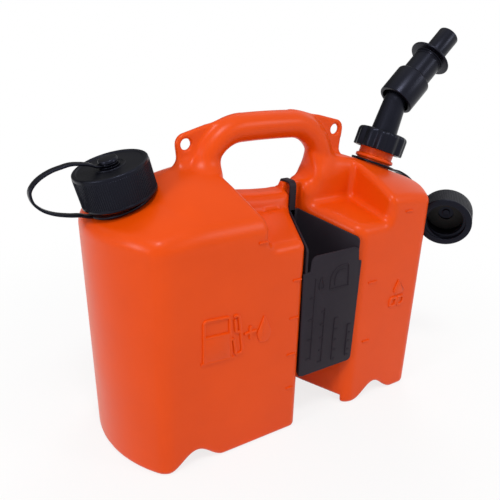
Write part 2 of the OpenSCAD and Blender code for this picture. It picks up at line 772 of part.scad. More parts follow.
// Where a point on the hanging cap's axis lies, seen from the foot of the oil neck
function oil_cap_axis(u) =
    let (level = cos(oil_cap_dip), z = -sin(oil_cap_dip))
    let (x = level * cos(oil_cap_turn), y = level * sin(oil_cap_turn))
    let (way = [x * cos(end_slope) - z * sin(end_slope), y, x * sin(end_slope) + z * cos(end_slope)])
    [oil_cap_out, -oil_cap_front, -oil_cap_drop] + u * way;

// Ring round the oil neck and strap over the end of the tank to the eye on the cap
module oil_tether() {
    ring_z = ring_low + ring_t / 2;
    reach = oil_ring_r + ring_w;
    eye = oil_cap_axis(cap_dish - (eye_low + eye_high) / 2);
    way = unit(oil_cap_axis(0) - oil_cap_axis(1));
    over = [neck_inset / cos(end_slope) + 4, -1, ring_z + 0.7];
    along = unit(cross(way, cross([-0.2, 1, 0.5], way)));
    path = spline([[reach - 2, 0, ring_z], [(reach + over[0]) / 2, 0, ring_z + 0.2], over,
        over + [10, -5, -3.2], eye + along * 30 + way * 5, eye + along * 16 + way,
        eye + along * (eye_d / 2 + 3), eye + along * (eye_d / 2 - 1)], 4);
    color(black_plastic) {
        on_neck(1) {
            tube(reach, oil_ring_r, ring_low, ring_low + ring_t);
            strap(path, [0, 1, 0], cross(along, way));
        }
        on_oil_cap() translate([0, 0, cap_dish]) rotate([180, 0, 0]) eye_form();
    }
}

module oil_tether_button() {
    color(black_plastic) on_oil_cap() translate([0, 0, cap_dish]) rotate([180, 0, 0]) button_form();
}

// Pour spout on the oil neck
module spout_gasket() {
    color(black_rubber) on_neck(1)
        tube(oil_neck_d / 2 + 1, oil_neck_d / 2 - neck_wall, oil_neck_h, oil_neck_h + gasket_t);
}

module spout_nut() {
    bore_r = oil_thread_r + thread_clear;
    lobe_r = nut_d * 0.1;
    color(black_plastic) on_neck(1) {
        difference() {
            translate([0, 0, nut_low]) rotate_extrude() polygon(rounded([[bore_r, 0, 0], [nut_d / 2, 0, 0.8],
                [nut_d / 2, nut_h, 4], [spout_base_d / 2 + seat_gap, nut_h, 0],
                [spout_base_d / 2 + seat_gap, nut_h - nut_top, 0], [bore_r, nut_h - nut_top, 0]]));
            for (i = [0:nut_lobes - 1])
                rotate(360 * (i + 0.5) / nut_lobes) translate([nut_d / 2 + lobe_r * 0.72, 0, nut_low - 1])
                    cylinder(r = lobe_r, h = nut_h + 2);
        }
        thread(bore_r + thread_sunk, bore_r - thread_depth, oil_thread_low + thread_pitch / 2);
    }
}

// Bent tube from the lower to the upper axis
module bend_form(d) {
    translate([bend_r, 0, bend_h - bend_leg]) rotate([90, 0, 180])
        rotate_extrude(angle = upper_tilt - end_slope) translate([bend_r, 0]) circle(d = d);
}

module spout_elbow() {
    color(black_plastic) difference() {
        union() {
            on_neck(1) {
                translate([0, 0, foot_low]) cylinder(r = oil_thread_r - 0.4, h = foot_t);
                translate([0, 0, foot_low])
                    cylinder(d1 = spout_base_d, d2 = spout_bend_d, h = bend_h - bend_leg - foot_low);
                bend_form(spout_bend_d);
            }
            on_spout() {
                translate([0, 0, stub_u]) cylinder(d = spout_bend_d + stub_step, h = collar_web_top - stub_u);
                translate([0, 0, collar_web_u]) cylinder(r = collar_r_in - press_gap, h = collar_web_t);
            }
        }
        on_neck(1) {
            translate([0, 0, foot_low - 1]) cylinder(d = spout_bore, h = bend_h - bend_leg - foot_low + 1);
            bend_form(spout_bore);
        }
        on_spout() translate([0, 0, stub_u]) cylinder(d = spout_bore + stub_step, h = collar_web_top);
    }
}

module spout_collar() {
    color(black_plastic) on_spout() rotate_extrude() polygon(rounded([[collar_r_in, -collar_back, 0],
        [collar_d / 2, -collar_back, 0.8], [collar_d / 2, collar_l, 2], [collar_r_in, collar_l, 0]]));
}

// Valve plug on its stem, held by three arms inside the bend
module spout_valve() {
    color(black_plastic) on_spout() {
        translate([0, 0, spider_u]) cylinder(d = valve_stem_d, h = valve_low - spider_u);
        translate([0, 0, valve_low]) cylinder(d = valve_d, h = valve_t);
        intersection() {
            translate([0, 0, spider_u]) cylinder(r = spider_r, h = spider_t);
            for (i = [0:2]) rotate(120 * i) translate([0, -1, spider_u]) cube([spider_r + 1, 2, spider_t]);
        }
    }
}

// Air tube along the wall of the lower spout
module spout_vent_tube() {
    color(black_plastic) on_neck(1) translate([0, spout_bore / 2 - vent_d / 2 - seat_gap, 0])
        tube(vent_d / 2, vent_d / 2 - 0.8, 6, bend_h - 8);
}

module spout_slider() {
    slider_r = slider_d / 2;
    flange_r = flange_d / 2;
    color(black_plastic) on_spout() rotate_extrude() polygon([[slider_bore_r, slider_low],
        [slider_r, slider_low], [slider_r, o_ring_u - groove_half], [groove_r, o_ring_u - groove_half],
        [groove_r, o_ring_u + groove_half], [slider_r, o_ring_u + groove_half], [slider_r, flange_low],
        [flange_r, flange_low], [flange_r, flange_u], [socket_r, flange_u], [socket_r, socket_low],
        [tip_bore_r, socket_low], [tip_bore_r, stop_low], [slider_bore_r, stop_low]]);
}

module spout_tip() {
    seat_u = valve_low - seat_gap;
    color(black_plastic) on_spout() rotate_extrude() polygon(rounded([[spigot_r, tip_low, 0],
        [spigot_r, flange_u + press_gap, 0], [tip_d / 2, flange_u + press_gap, 0], [tip_d / 2, tip_u, tip_edge],
        [tip_bore_r, tip_u, 0.6], [tip_bore_r, seat_u, 0], [valve_seat_r, seat_u, 0],
        [valve_seat_r, seat_u - valve_seat_t, 0], [tip_bore_r, seat_u - valve_seat_t, 0],
        [tip_bore_r, tip_low, 0]]));
}

module spout_o_ring() {
    color(black_rubber) on_spout() rotate_extrude()
        translate([collar_r_in - o_ring_r - o_ring_fit, o_ring_u]) circle(r = o_ring_r);
}

module spout_spring() {
    steps = 12;
    round_n = 6;
    n = spring_turns * steps;
    rise = (spring_high - spring_low - spring_wire) / n;
    points = [for (i = [0:n], k = [0:round_n - 1])
        let (a = 360 * i / steps, b = 360 * k / round_n, r = spring_r + spring_wire / 2 * cos(b))
        [r * cos(a), r * sin(a), spring_low + spring_wire / 2 + rise * i + spring_wire / 2 * sin(b)]];
    sides = [for (i = [0:n - 1], k = [0:round_n - 1])
        let (a = round_n * i + k, b = round_n * i + (k + 1) % round_n)
        each [[a, b + round_n, b], [a, a + round_n, b + round_n]]];
    far = n * round_n;
    ends = [for (k = [1:round_n - 2]) each [[0, k, k + 1], [far, far + k + 1, far + k]]];
    color(steel) on_spout() polyhedron(points, concat(sides, ends), convexity = 8);
}

// Tool tray that hangs from the web by its hook
function tray_half(y, inset) = slot_half(-y) - (tray_clear + inset) / cos(slot_a);

module tray_plan(front, inset) {
    back = tray_in_y - inset;
    polygon([[slot_x - tray_half(front, inset), front], [slot_x + tray_half(front, inset), front],
        [slot_x + tray_half(back, inset), back], [slot_x - tray_half(back, inset), back]]);
}

// Face in front of the gap, side walls and floor in the gap, and a hook over the web
module tool_tray() {
    face_x = slot_x + tray_off;
    face_y = -half_d - tray_proud;
    mid_y = face_y + tray_wall / 2;
    left = tray_upper_off - tray_upper_w / 2;
    right = tray_upper_off + tray_upper_w / 2;
    foot = [[-tray_low_w / 2, tray_base, tray_low_r], [tray_low_w / 2, tray_base, tray_low_r]];
    behind = web_t / 2 + seat_gap;
    hook_low = tray_back_z - 12;
    hook_in = tray_in_y - tray_wall;
    hook_top = web_top + seat_gap;
    color(tray_grey) {
        translate([face_x, 0, 0]) along_y(face_y, face_y + tray_wall) polygon(rounded(concat(foot,
            [[tray_w / 2, tray_shoulder, 1], [right + 1, tray_shoulder + 1, 1], [right, tray_top, tray_r],
            [left, tray_top, tray_r], [left - 1, tray_shoulder + 1, 1], [-tray_w / 2, tray_shoulder, 1]])));
        intersection() {
            difference() {
                translate([0, 0, tray_base]) linear_extrude(tray_back_z) tray_plan(mid_y, 0);
                translate([0, 0, tray_base + tray_wall]) linear_extrude(tray_back_z)
                    tray_plan(face_y - 1, tray_wall);
            }
            along_x(-BIG / 2, BIG / 2) polygon(rounded([[mid_y, tray_base, 0], [tray_in_y, tray_base, 0],
                [tray_in_y, tray_back_z, 0], [mid_y, tray_side_z, tray_side_r]]));
            translate([face_x, 0, 0]) along_y(-BIG / 4, BIG / 4) polygon(rounded(concat(foot,
                [[tray_w / 2, tray_back_z + 1, 0], [-tray_w / 2, tray_back_z + 1, 0]])));
        }
        along_x(hook_x - strap_w / 2, hook_x + strap_w / 2) polygon(rounded([[hook_in, hook_low, 0],
            [tray_in_y, hook_low, 0], [tray_in_y, hook_top, 1], [behind, hook_top, 1],
            [behind, web_top - hook_drop, 0], [behind + tray_wall, web_top - hook_drop, 0.8],
            [behind + tray_wall, hook_top + tray_wall, 2.5], [hook_in, hook_top + tray_wall, 2.5]]));
    }
}

fuel_tank();
oil_tank();
mid_web();
carry_handle();
left_ear();
right_ear();
fuel_cap();
fuel_cap_gasket();
fuel_tether();
fuel_tether_button();
oil_cap();
oil_cap_gasket();
oil_tether();
oil_tether_button();
spout_gasket();
spout_nut();
spout_elbow();
spout_collar();
spout_valve();
spout_vent_tube();
spout_slider();
spout_tip();
spout_o_ring();
spout_spring();
tool_tray();
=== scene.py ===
"""Combination fuel can: the dressed model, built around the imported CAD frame.

Sizes are millimetres in the row frame until a mesh is made; meshes are metres.
"""

from __future__ import annotations

import itertools
import logging
import math
from dataclasses import dataclass, field
from enum import Enum
from typing import Sequence

import bmesh
import bpy
import numpy as np
from mathutils import Matrix, Vector


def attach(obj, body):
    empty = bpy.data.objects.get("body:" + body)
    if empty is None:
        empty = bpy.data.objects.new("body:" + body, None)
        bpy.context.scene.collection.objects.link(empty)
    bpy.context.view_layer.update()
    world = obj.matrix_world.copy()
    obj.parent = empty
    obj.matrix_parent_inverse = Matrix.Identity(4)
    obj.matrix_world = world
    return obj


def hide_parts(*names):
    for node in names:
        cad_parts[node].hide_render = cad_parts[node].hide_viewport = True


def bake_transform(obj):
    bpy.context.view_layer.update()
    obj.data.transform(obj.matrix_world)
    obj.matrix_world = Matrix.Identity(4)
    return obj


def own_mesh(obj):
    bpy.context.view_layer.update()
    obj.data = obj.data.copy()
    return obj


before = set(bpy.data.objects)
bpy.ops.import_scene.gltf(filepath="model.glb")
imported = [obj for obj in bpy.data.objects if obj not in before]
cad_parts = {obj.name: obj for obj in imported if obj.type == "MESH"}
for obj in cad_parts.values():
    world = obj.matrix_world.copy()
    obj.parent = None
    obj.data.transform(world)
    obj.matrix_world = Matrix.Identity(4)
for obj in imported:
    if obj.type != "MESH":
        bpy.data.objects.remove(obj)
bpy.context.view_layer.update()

LOG = logging.getLogger("fuel_can")
MM = 0.001
TURN = 2 * math.pi
Flat = tuple[float, float]
# Numbers at the points of a grid, or at any row of points.
Grid = np.ndarray
Point = tuple[float, float, float]
# A corner's two places on its plane, and its rounding.
Corner = tuple[float, float, float]


class Slot(Enum):
    """Material slots of the record."""

    ORANGE = "orange_hdpe"
    BLACK = "black_pp"
    RUBBER = "black_rubber"
    STEEL = "spring_steel"
    TRAY = "grey_pp"


# Finishes


def linear(hex_colour: str) -> tuple[float, float, float, float]:
    """Turns an sRGB hex colour into linear RGBA.

    Args:
        hex_colour: Six hex digits with a leading hash.

    Returns:
        Linear red, green, blue and an alpha of one.
    """
    parts = [int(hex_colour[i : i + 2], 16) / 255 for i in (1, 3, 5)]
    red, green, blue = (
        c / 12.92 if c <= 0.04045 else ((c + 0.055) / 1.055) ** 2.4 for c in parts
    )
    return (red, green, blue, 1.0)


def add_node(
    tree: bpy.types.NodeTree, kind: str, inputs: dict | None = None, **settings: object
) -> bpy.types.Node:
    """Adds a node with its settings, and sets or links its inputs.

    Args:
        tree: Node tree that gets the node.
        kind: Blender's name of the node type.
        inputs: Input name or index to a plain value, or to a socket to link from.
        settings: Attributes of the node.

    Returns:
        The new node.
    """
    node = tree.nodes.new(kind)
    for key, value in settings.items():
        setattr(node, key, value)
    for key, value in (inputs or {}).items():
        if isinstance(value, bpy.types.NodeSocket):
            tree.links.new(value, node.inputs[key])
        else:
            node.inputs[key].default_value = value
    return node


def bare_material(name: str) -> tuple[bpy.types.Material, bpy.types.Node, bpy.types.NodeSocket]:
    """Starts a node material.

    Args:
        name: Name of the material.

    Returns:
        The material, its Principled shader, and its Object coordinates in metres.
    """
    made = bpy.data.materials.new(name)
    made.use_nodes = True
    place = add_node(made.node_tree, "ShaderNodeTexCoord").outputs["Object"]
    return made, made.node_tree.nodes["Principled BSDF"], place


@dataclass(frozen=True)
class Plastic:
    """A moulded plastic: its colour, how its skin scatters light, and the grain of its mould."""

    name: str
    slot: Slot
    colour: str
    shade: str
    roughness: float
    roughness_spread: float
    specular: float
    grain_mm: float
    grain_depth_mm: float
    cloud_mm: float
    gloss: str = "#FFFFFF"
    ior: float = 1.5
    cloud_range: Flat = (0.3, 0.7)

    def material(self) -> bpy.types.Material:
        """Builds the node material, with clouded colour and roughness and a fine grain."""
        made, shader, place = bare_material(self.name)
        tree = made.node_tree
        shader.inputs["IOR"].default_value = self.ior
        shader.inputs["Specular IOR Level"].default_value = self.specular
        shader.inputs["Specular Tint"].default_value = linear(self.gloss)
        cloud, grain = (
            add_node(
                tree,
                "ShaderNodeTexNoise",
                {"Vector": place, "Scale": 1 / (size_mm * MM), "Detail": detail},
            ).outputs["Fac"]
            for size_mm, detail in ((self.cloud_mm, 3.0), (self.grain_mm, 2.0))
        )
        ramp = add_node(tree, "ShaderNodeValToRGB", {"Fac": cloud})
        ends = zip(ramp.color_ramp.elements, self.cloud_range, (self.shade, self.colour))
        for element, position, colour in ends:
            element.position, element.color = position, linear(colour)
        tree.links.new(ramp.outputs["Color"], shader.inputs["Base Color"])
        wear = add_node(
            tree,
            "ShaderNodeMapRange",
            {
                "Value": cloud,
                "From Min": self.cloud_range[0],
                "From Max": self.cloud_range[1],
                "To Min": self.roughness - self.roughness_spread,
                "To Max": self.roughness + self.roughness_spread,
            },
        )
        tree.links.new(wear.outputs["Result"], shader.inputs["Roughness"])
        bump = add_node(
            tree,
            "ShaderNodeBump",
            {"Height": grain, "Distance": self.grain_depth_mm * MM, "Strength": 1.0},
        )
        tree.links.new(bump.outputs["Normal"], shader.inputs["Normal"])
        return made


# Blown polyethylene: waxy, saturated, with a broad soft gloss and a faint orange peel.
ORANGE = Plastic(
    "Blown_polyethylene_orange",
    Slot.ORANGE,
    colour="#E34B04",
    shade="#DE4803",
    roughness=0.33,
    roughness_spread=0.03,
    specular=0.2,
    grain_mm=2.5,
    grain_depth_mm=0.008,
    cloud_mm=45,
)
# Injection-moulded polypropylene: near-black and satin. Its spark grain is about 0.1 mm, and is
# drawn coarser here, as on the other small pieces, so that it shows.
BLACK = Plastic(
    "Moulded_polypropylene_black",
    Slot.BLACK,
    colour="#09090F",
    shade="#07070C",
    roughness=0.32,
    roughness_spread=0.05,
    specular=0.21,
    grain_mm=0.6,
    grain_depth_mm=0.01,
    cloud_mm=20,
    gloss="#D4DAFF",
)
# The tray's polypropylene: dark violet-grey, duller, from a textured mould.
GREY = Plastic(
    "Textured_polypropylene_grey",
    Slot.TRAY,
    colour="#2D282F",
    shade="#29242B",
    roughness=0.48,
    roughness_spread=0.05,
    specular=0.08,
    grain_mm=0.7,
    grain_depth_mm=0.015,
    cloud_mm=25,
)
# Nitrile rubber, pressed in a mould: dull black.
RUBBER = Plastic(
    "Nitrile_rubber",
    Slot.RUBBER,
    colour="#101011",
    shade="#0C0C0D",
    roughness=0.6,
    roughness_spread=0.05,
    specular=0.3,
    grain_mm=0.5,
    grain_depth_mm=0.01,
    cloud_mm=10,
)


@dataclass(frozen=True)
class SpringSteel:
    """Drawn steel wire: bright, with fine drawing marks."""

    name: str = "Drawn_spring_steel"
    slot: Slot = Slot.STEEL
    colour: str = "#A9ADB2"
    roughness: float = 0.3
    mark_mm: float = 0.4
    mark_depth_mm: float = 0.005

    def material(self) -> bpy.types.Material:
        """Builds the node material."""
        made, shader, place = bare_material(self.name)
        tree = made.node_tree
        shader.inputs["Base Color"].default_value = linear(self.colour)
        shader.inputs["Metallic"].default_value = 1.0
        shader.inputs["Roughness"].default_value = self.roughness
        marks = add_node(
            tree, "ShaderNodeTexNoise", {"Vector": place, "Scale": 1 / (self.mark_mm * MM)}
        ).outputs["Fac"]
        bump = add_node(
            tree, "ShaderNodeBump", {"Height": marks, "Distance": self.mark_depth_mm * MM}
        )
        tree.links.new(bump.outputs["Normal"], shader.inputs["Normal"])
        return made


STEEL = SpringSteel()


@dataclass
class Paintbox:
    """Makes each finish's material once."""

    made: dict[str, bpy.types.Material] = field(default_factory=dict)

    def get(self, finish: Plastic | SpringSteel) -> bpy.types.Material:
        """Returns the material of a finish."""
        if finish.name not in self.made:
            self.made[finish.name] = finish.material()
        return self.made[finish.name]


PAINTS = Paintbox()

# Shapes

# Shorter lengths than this count as none, so points this close are one.
MERGE = 1e-6
# Depth of a raised line below its face, in millimetres.
SINK = 0.3


def unit(vector: Sequence[float]) -> np.ndarray:
    """Returns a vector of length one."""
    v = np.asarray(vector, float)
    return v / np.linalg.norm(v)


@dataclass(frozen=True)
class Axes:
    """Axes of a sub-assembly: its origin, its long way and a way across."""

    origin: Point
    along: Point
    across: Point

    def place(self, points: np.ndarray) -> np.ndarray:
        """Moves points from these axes into the row frame.

        Args:
            points: Rows of x, y and z in these axes.

        Returns:
            Rows of x, y and z in the row frame.
        """
        z = unit(self.along)
        x = unit(np.asarray(self.across) - np.dot(self.across, z) * z)
        return np.asarray(self.origin) + points @ np.array([x, np.cross(z, x), z])

    def at(self, height: float) -> Point:
        """Returns the point on the long axis at a height, in millimetres."""
        return tuple(self.place(np.array([[0.0, 0.0, height]]))[0])


@dataclass
class Shape:
    """A mesh being made: points in millimetres and faces as index lists."""

    points: np.ndarray = field(default_factory=lambda: np.zeros((0, 3)))
    faces: list[list[int]] = field(default_factory=list)

    def join(self, other: Shape) -> Shape:
        """Adds another shape's points and faces and returns this shape."""
        start = len(self.points)
        self.points = np.vstack([self.points, other.points])
        self.faces += [[i + start for i in f] for f in other.faces]
        return self

    def placed(self, axes: Axes) -> Shape:
        """Returns the shape moved from the given axes into the row frame."""
        return Shape(axes.place(self.points), self.faces)

    def raised(self, height: float) -> Shape:
        """Returns the shape moved up its own axes."""
        return Shape(self.points + [0, 0, height], self.faces)

    def piece(
        self, name: str, finish: Plastic | SpringSteel, sharp: float = 38.0, recalc: bool = True
    ) -> bpy.types.Object:
        """Makes the Blender object.

        Args:
            name: Name of the piece.
            finish: Finish that gives its material.
            sharp: Edges that turn more than this many degrees stay sharp.
            recalc: Whether doubles are merged and faces turned outwards.

        Returns:
            A mesh object at the origin, with its place in its mesh.
        """
        mesh = bpy.data.meshes.new(name)
        mesh.from_pydata((self.points * MM).tolist(), [], self.faces)
        if recalc:
            work = bmesh.new()
            work.from_mesh(mesh)
            bmesh.ops.remove_doubles(work, verts=work.verts, dist=MERGE)
            bmesh.ops.recalc_face_normals(work, faces=work.faces)
            work.to_mesh(mesh)
            work.free()
        mesh.shade_smooth()
        mesh.set_sharp_from_angle(angle=math.radians(sharp))
        mesh.materials.append(PAINTS.get(finish))
        made = bpy.data.objects.new(name, mesh)
        bpy.context.scene.collection.objects.link(made)
        LOG.info("%s: %d faces", name, len(mesh.polygons))
        return made


def rounded(corners: Sequence[Corner], closed: bool = True, steps: int = 5) -> list[Flat]:
    """Rounds the corners of an outline.

    Args:
        corners: Corner places with the rounding of each.
        closed: Whether the last corner joins the first.
        steps: Steps in each rounded corner.

    Returns:
        Points of the outline.
    """
    at = [np.array(c[:2], float) for c in corners]
    made: list[Flat] = []
    for i, (x, y, r) in enumerate(corners):
        if r <= 0 or (not closed and i in (0, len(corners) - 1)):
            made.append((x, y))
            continue
        u, v = unit(at[i - 1] - at[i]), unit(at[(i + 1) % len(at)] - at[i])
        half = math.acos(float(np.clip(u @ v, -1, 1))) / 2
        centre = at[i] + unit(u + v) * r / math.sin(half)
        p, q = (at[i] + way * r / math.tan(half) - centre for way in (u, v))
        start = math.atan2(p[1], p[0])
        turn = (math.atan2(q[1], q[0]) - start + math.pi) % TURN - math.pi
        angles = [start + turn * k / steps for k in range(steps + 1)]
        made += [(centre[0] + r * math.cos(a), centre[1] + r * math.sin(a)) for a in angles]
    return made


def circle(count: int) -> np.ndarray:
    """Returns angles at even steps round a circle."""
    return np.arange(count) * TURN / count


def lathe(profile: Sequence[Flat], closed: bool = True, segments: int = 96) -> Shape:
    """Turns a profile of radius and height round the long axis.

    Args:
        profile: Points of radius and height.
        closed: Whether the last point joins the first.
        segments: Steps round the axis.

    Returns:
        The turned shape.
    """
    points: list[list[float]] = []
    rows: list[list[int]] = []
    for r, z in profile:
        n = 1 if r < MERGE else segments
        rows.append([len(points) + k for k in range(n)])
        angles = [TURN * k / n for k in range(n)]
        points += [[r * math.cos(a), r * math.sin(a), z] for a in angles]
    faces: list[list[int]] = []
    pairs = list(zip(rows, rows[1:])) + ([(rows[-1], rows[0])] if closed else [])
    for low, high in pairs:
        if len(low) == len(high) == 1:
            continue
        for k in range(segments):
            around = ((low, k), (low, k + 1), (high, k + 1), (high, k))
            faces.append(list(dict.fromkeys(row[j % len(row)] for row, j in around)))
    return Shape(np.array(points), faces)


def loft(rings: Sequence[np.ndarray], ends: bool = True, around: bool = False) -> Shape:
    """Joins closed rings of equal length into a skin.

    Args:
        rings: Arrays of points.
        ends: Whether the first and last ring are closed by a face.
        around: Whether the last ring joins the first.

    Returns:
        The lofted shape.
    """
    n, m = len(rings), len(rings[0])
    faces = [
        [i * m + k, i * m + (k + 1) % m, (i + 1) % n * m + (k + 1) % m, (i + 1) % n * m + k]
        for i in range(n if around else n - 1)
        for k in range(m)
    ]
    if ends and not around:
        faces += [list(range(m))[::-1], [(n - 1) * m + k for k in range(m)]]
    return Shape(np.vstack(rings), faces)


def spline(points: Sequence[Point | np.ndarray], steps: int) -> np.ndarray:
    """Draws a smooth curve through points.

    Args:
        points: Points on the curve.
        steps: Steps between two of them.

    Returns:
        Rows of points along the curve.
    """
    p = [np.asarray(q, float) for q in points]
    last = len(p) - 1
    made = []
    for i in range(last):
        a, b, c, d = p[max(i - 1, 0)], p[i], p[i + 1], p[min(i + 2, last)]
        square, cube = 2 * a - 5 * b + 4 * c - d, 3 * b - a - 3 * c + d
        for k in range(steps + 1 if i == last - 1 else steps):
            t = k / steps
            made.append(0.5 * (2 * b + (c - a) * t + square * t * t + cube * t**3))
    return np.array(made)


def tangents(path: np.ndarray) -> np.ndarray:
    """Returns the unit direction of a path at each of its points."""
    ways = np.empty_like(path)
    ways[1:-1] = path[2:] - path[:-2]
    ways[0], ways[-1] = path[1] - path[0], path[-1] - path[-2]
    return ways / np.linalg.norm(ways, axis=1)[:, None]


def swept(
    path: np.ndarray, section: Sequence[Flat], wides: np.ndarray, loop: bool = False
) -> Shape:
    """Sweeps a flat section along a path.

    Args:
        path: Points of the path.
        section: Outline, its first number along the width and its second along the thickness.
        wides: Width direction at each point of the path.
        loop: Whether the path closes.

    Returns:
        The swept shape.
    """
    ways = tangents(path)
    if loop:
        ways = np.roll(path, -1, 0) - np.roll(path, 1, 0)
        ways /= np.linalg.norm(ways, axis=1)[:, None]
    across = wides - np.sum(wides * ways, axis=1)[:, None] * ways
    across /= np.linalg.norm(across, axis=1)[:, None]
    up = np.cross(across, ways)
    rings = [
        p + np.array([a * s + u * t for s, t in section]) for p, a, u in zip(path, across, up)
    ]
    return loft(rings, ends=not loop, around=loop)


def resampled(points: Sequence[Flat], closed: bool, step: float = 1.5) -> np.ndarray:
    """Sets points along a flat line at even steps.

    Args:
        points: Corners of the line.
        closed: Whether the last corner joins the first.
        step: Longest distance between two points.

    Returns:
        Rows of two numbers.
    """
    at = [np.asarray(p, float) for p in points]
    pairs = list(zip(at, at[1:])) + ([(at[-1], at[0])] if closed else [])
    made = []
    for a, b in pairs:
        n = max(1, math.ceil(np.linalg.norm(b - a) / step))
        made += [a + (b - a) * k / n for k in range(n)]
    return np.array(made if closed else made + [at[-1]])


def ridge(
    path: np.ndarray, outs: np.ndarray, wide: float, high: float, loop: bool = False
) -> Shape:
    """Makes a raised line on a face.

    Args:
        path: Points on the face.
        outs: Directions out of the face at these points.
        wide: Width of the line.
        high: Height of the line.
        loop: Whether the line closes.

    Returns:
        The raised line, sunk a little into the face.
    """
    ways = np.roll(path, -1, 0) - np.roll(path, 1, 0) if loop else tangents(path)
    half = [(wide / 2, -SINK), (wide * 0.47, high * 0.55), (wide * 0.3, high)]
    section = [(-wide / 2, -SINK), *half, *((-across, up) for across, up in half[:0:-1])]
    return swept(path, section, np.cross(ways, outs), loop)


def slab(outline: Sequence[Flat], thick: float, edge: float) -> Shape:
    """Makes a plate with rounded edges.

    Args:
        outline: Outline of the plate, counter-clockwise.
        thick: Thickness, upwards from zero.
        edge: Rounding of the edges.

    Returns:
        The plate on its own axes.
    """
    flat = np.array(outline, float)
    ways = (flat - np.roll(flat, 1, 0), np.roll(flat, -1, 0) - flat)
    turns = [
        np.column_stack([-w[:, 1], w[:, 0]]) / np.linalg.norm(w, axis=1)[:, None] for w in ways
    ]
    inner = turns[0] + turns[1]
    inner /= np.maximum(np.sum(inner * turns[0], axis=1), 0.3)[:, None]
    angles = [math.radians(a) for a in (0, 30, 60, 90)]
    sides = [(edge * (1 - math.sin(a)), edge * (1 - math.cos(a))) for a in angles]
    rows = sides + [(off, thick - high) for off, high in reversed(sides)]
    return loft(
        [np.column_stack([flat + inner * off, np.full(len(flat), high)]) for off, high in rows]
    )


@dataclass(frozen=True)
class ScrewThread:
    """The thread that necks, caps and nut share; flank is half its width at root and crest."""

    pitch: float = 4.5
    turns: float = 2.0
    depth: float = 2.5
    flank: Flat = (0.95, 0.45)
    sunk: float = 0.4
    steps: int = 60
    run_out: int = 8

    def wound(self, wall: float, low: float, out: int) -> Shape:
        """Winds the thread on a wall, with tapered ends.

        Args:
            wall: Radius of the wall.
            low: Height at which the thread starts.
            out: 1 for a thread on the outside, -1 for one in a bore.

        Returns:
            The thread as a closed shape.
        """
        root, crest = wall - out * self.sunk, wall + out * self.depth
        (foot, tip), n = self.flank, int(self.steps * self.turns)
        rings = []
        for i in range(n + 1):
            a, z = TURN * self.turns * i / n, low + self.pitch * self.turns * i / n
            share = min(1.0, 0.1 + min(i, n - i) / self.run_out)
            top = root + (crest - root) * share
            rows = [(root, -foot), (top, -tip), (top, tip), (root, foot)]
            rings.append(np.array([[r * math.cos(a), r * math.sin(a), z + h] for r, h in rows]))
        return loft(rings)


THREAD = ScrewThread()


# What repeats is made with geometry nodes


class RepeatTree:
    """Geometry nodes that repeat a shape, each copy moved by a step and turned by an angle."""

    NAME = "Repeat with step and turn"

    def __init__(self) -> None:
        """Builds the tree with its named inputs."""
        tree = bpy.data.node_groups.new(self.NAME, "GeometryNodeTree")
        kinds = {
            "Geometry": "NodeSocketGeometry",
            "Count": "NodeSocketInt",
            "Step": "NodeSocketVector",
            "Turn": "NodeSocketFloat",
            "Material": "NodeSocketMaterial",
        }
        sockets = {
            n: tree.interface.new_socket(n, in_out="INPUT", socket_type=k)
            for n, k in kinds.items()
        }
        tree.interface.new_socket("Geometry", in_out="OUTPUT", socket_type="NodeSocketGeometry")
        given = add_node(tree, "NodeGroupInput").outputs
        index = add_node(tree, "GeometryNodeInputIndex").outputs[0]
        step = add_node(
            tree, "ShaderNodeVectorMath", {0: given["Step"], "Scale": index}, operation="SCALE"
        ).outputs["Vector"]
        angle = add_node(
            tree, "ShaderNodeMath", {0: index, 1: given["Turn"]}, operation="MULTIPLY"
        ).outputs[0]
        turn = add_node(tree, "ShaderNodeCombineXYZ", {"Z": angle}).outputs[0]
        points = add_node(
            tree, "GeometryNodePoints", {"Count": given["Count"], "Position": step}
        ).outputs[0]
        copies = add_node(
            tree,
            "GeometryNodeInstanceOnPoints",
            {"Points": points, "Instance": given["Geometry"], "Rotation": turn},
        ).outputs[0]
        real = add_node(tree, "GeometryNodeRealizeInstances", {"Geometry": copies}).outputs[0]
        painted = add_node(
            tree, "GeometryNodeSetMaterial", {"Geometry": real, "Material": given["Material"]}
        ).outputs[0]
        add_node(tree, "NodeGroupOutput", {0: painted})
        self.tree = tree
        self.keys = {n: s.identifier for n, s in sockets.items()}

    def run(self, shape: Shape, count: int, step: Point, turn: float, finish: Plastic) -> Shape:
        """Repeats a shape.

        Args:
            shape: The shape to repeat.
            count: Number of copies.
            step: Move from one copy to the next.
            turn: Turn from one copy to the next, in radians.
            finish: Finish of the copies.

        Returns:
            All the copies as one shape.
        """
        mesh = bpy.data.meshes.new("repeat")
        mesh.from_pydata(shape.points.tolist(), [], shape.faces)
        source = bpy.data.objects.new("repeat", mesh)
        bpy.context.scene.collection.objects.link(source)
        modifier = source.modifiers.new("repeat", "NODES")
        modifier.node_group = self.tree
        values = {"Count": count, "Step": step, "Turn": turn, "Material": PAINTS.get(finish)}
        for name, value in values.items():
            modifier[self.keys[name]] = value
        graph = bpy.context.evaluated_depsgraph_get()
        result = bpy.data.meshes.new_from_object(source.evaluated_get(graph))
        points = np.empty(len(result.vertices) * 3)
        result.vertices.foreach_get("co", points)
        faces = [list(f.vertices) for f in result.polygons]
        source.modifiers.remove(modifier)
        bpy.data.objects.remove(source)
        bpy.data.meshes.remove(mesh)
        bpy.data.meshes.remove(result)
        return Shape(points.reshape(-1, 3), faces)


REPEAT = RepeatTree()

# Places that the sub-assemblies share


def leaning(origin: Point, lean: float) -> Axes:
    """Returns axes that lean from upright towards the oil end, by an angle in radians."""
    return Axes(origin, (math.sin(lean), 0, math.cos(lean)), (math.cos(lean), 0, 0))


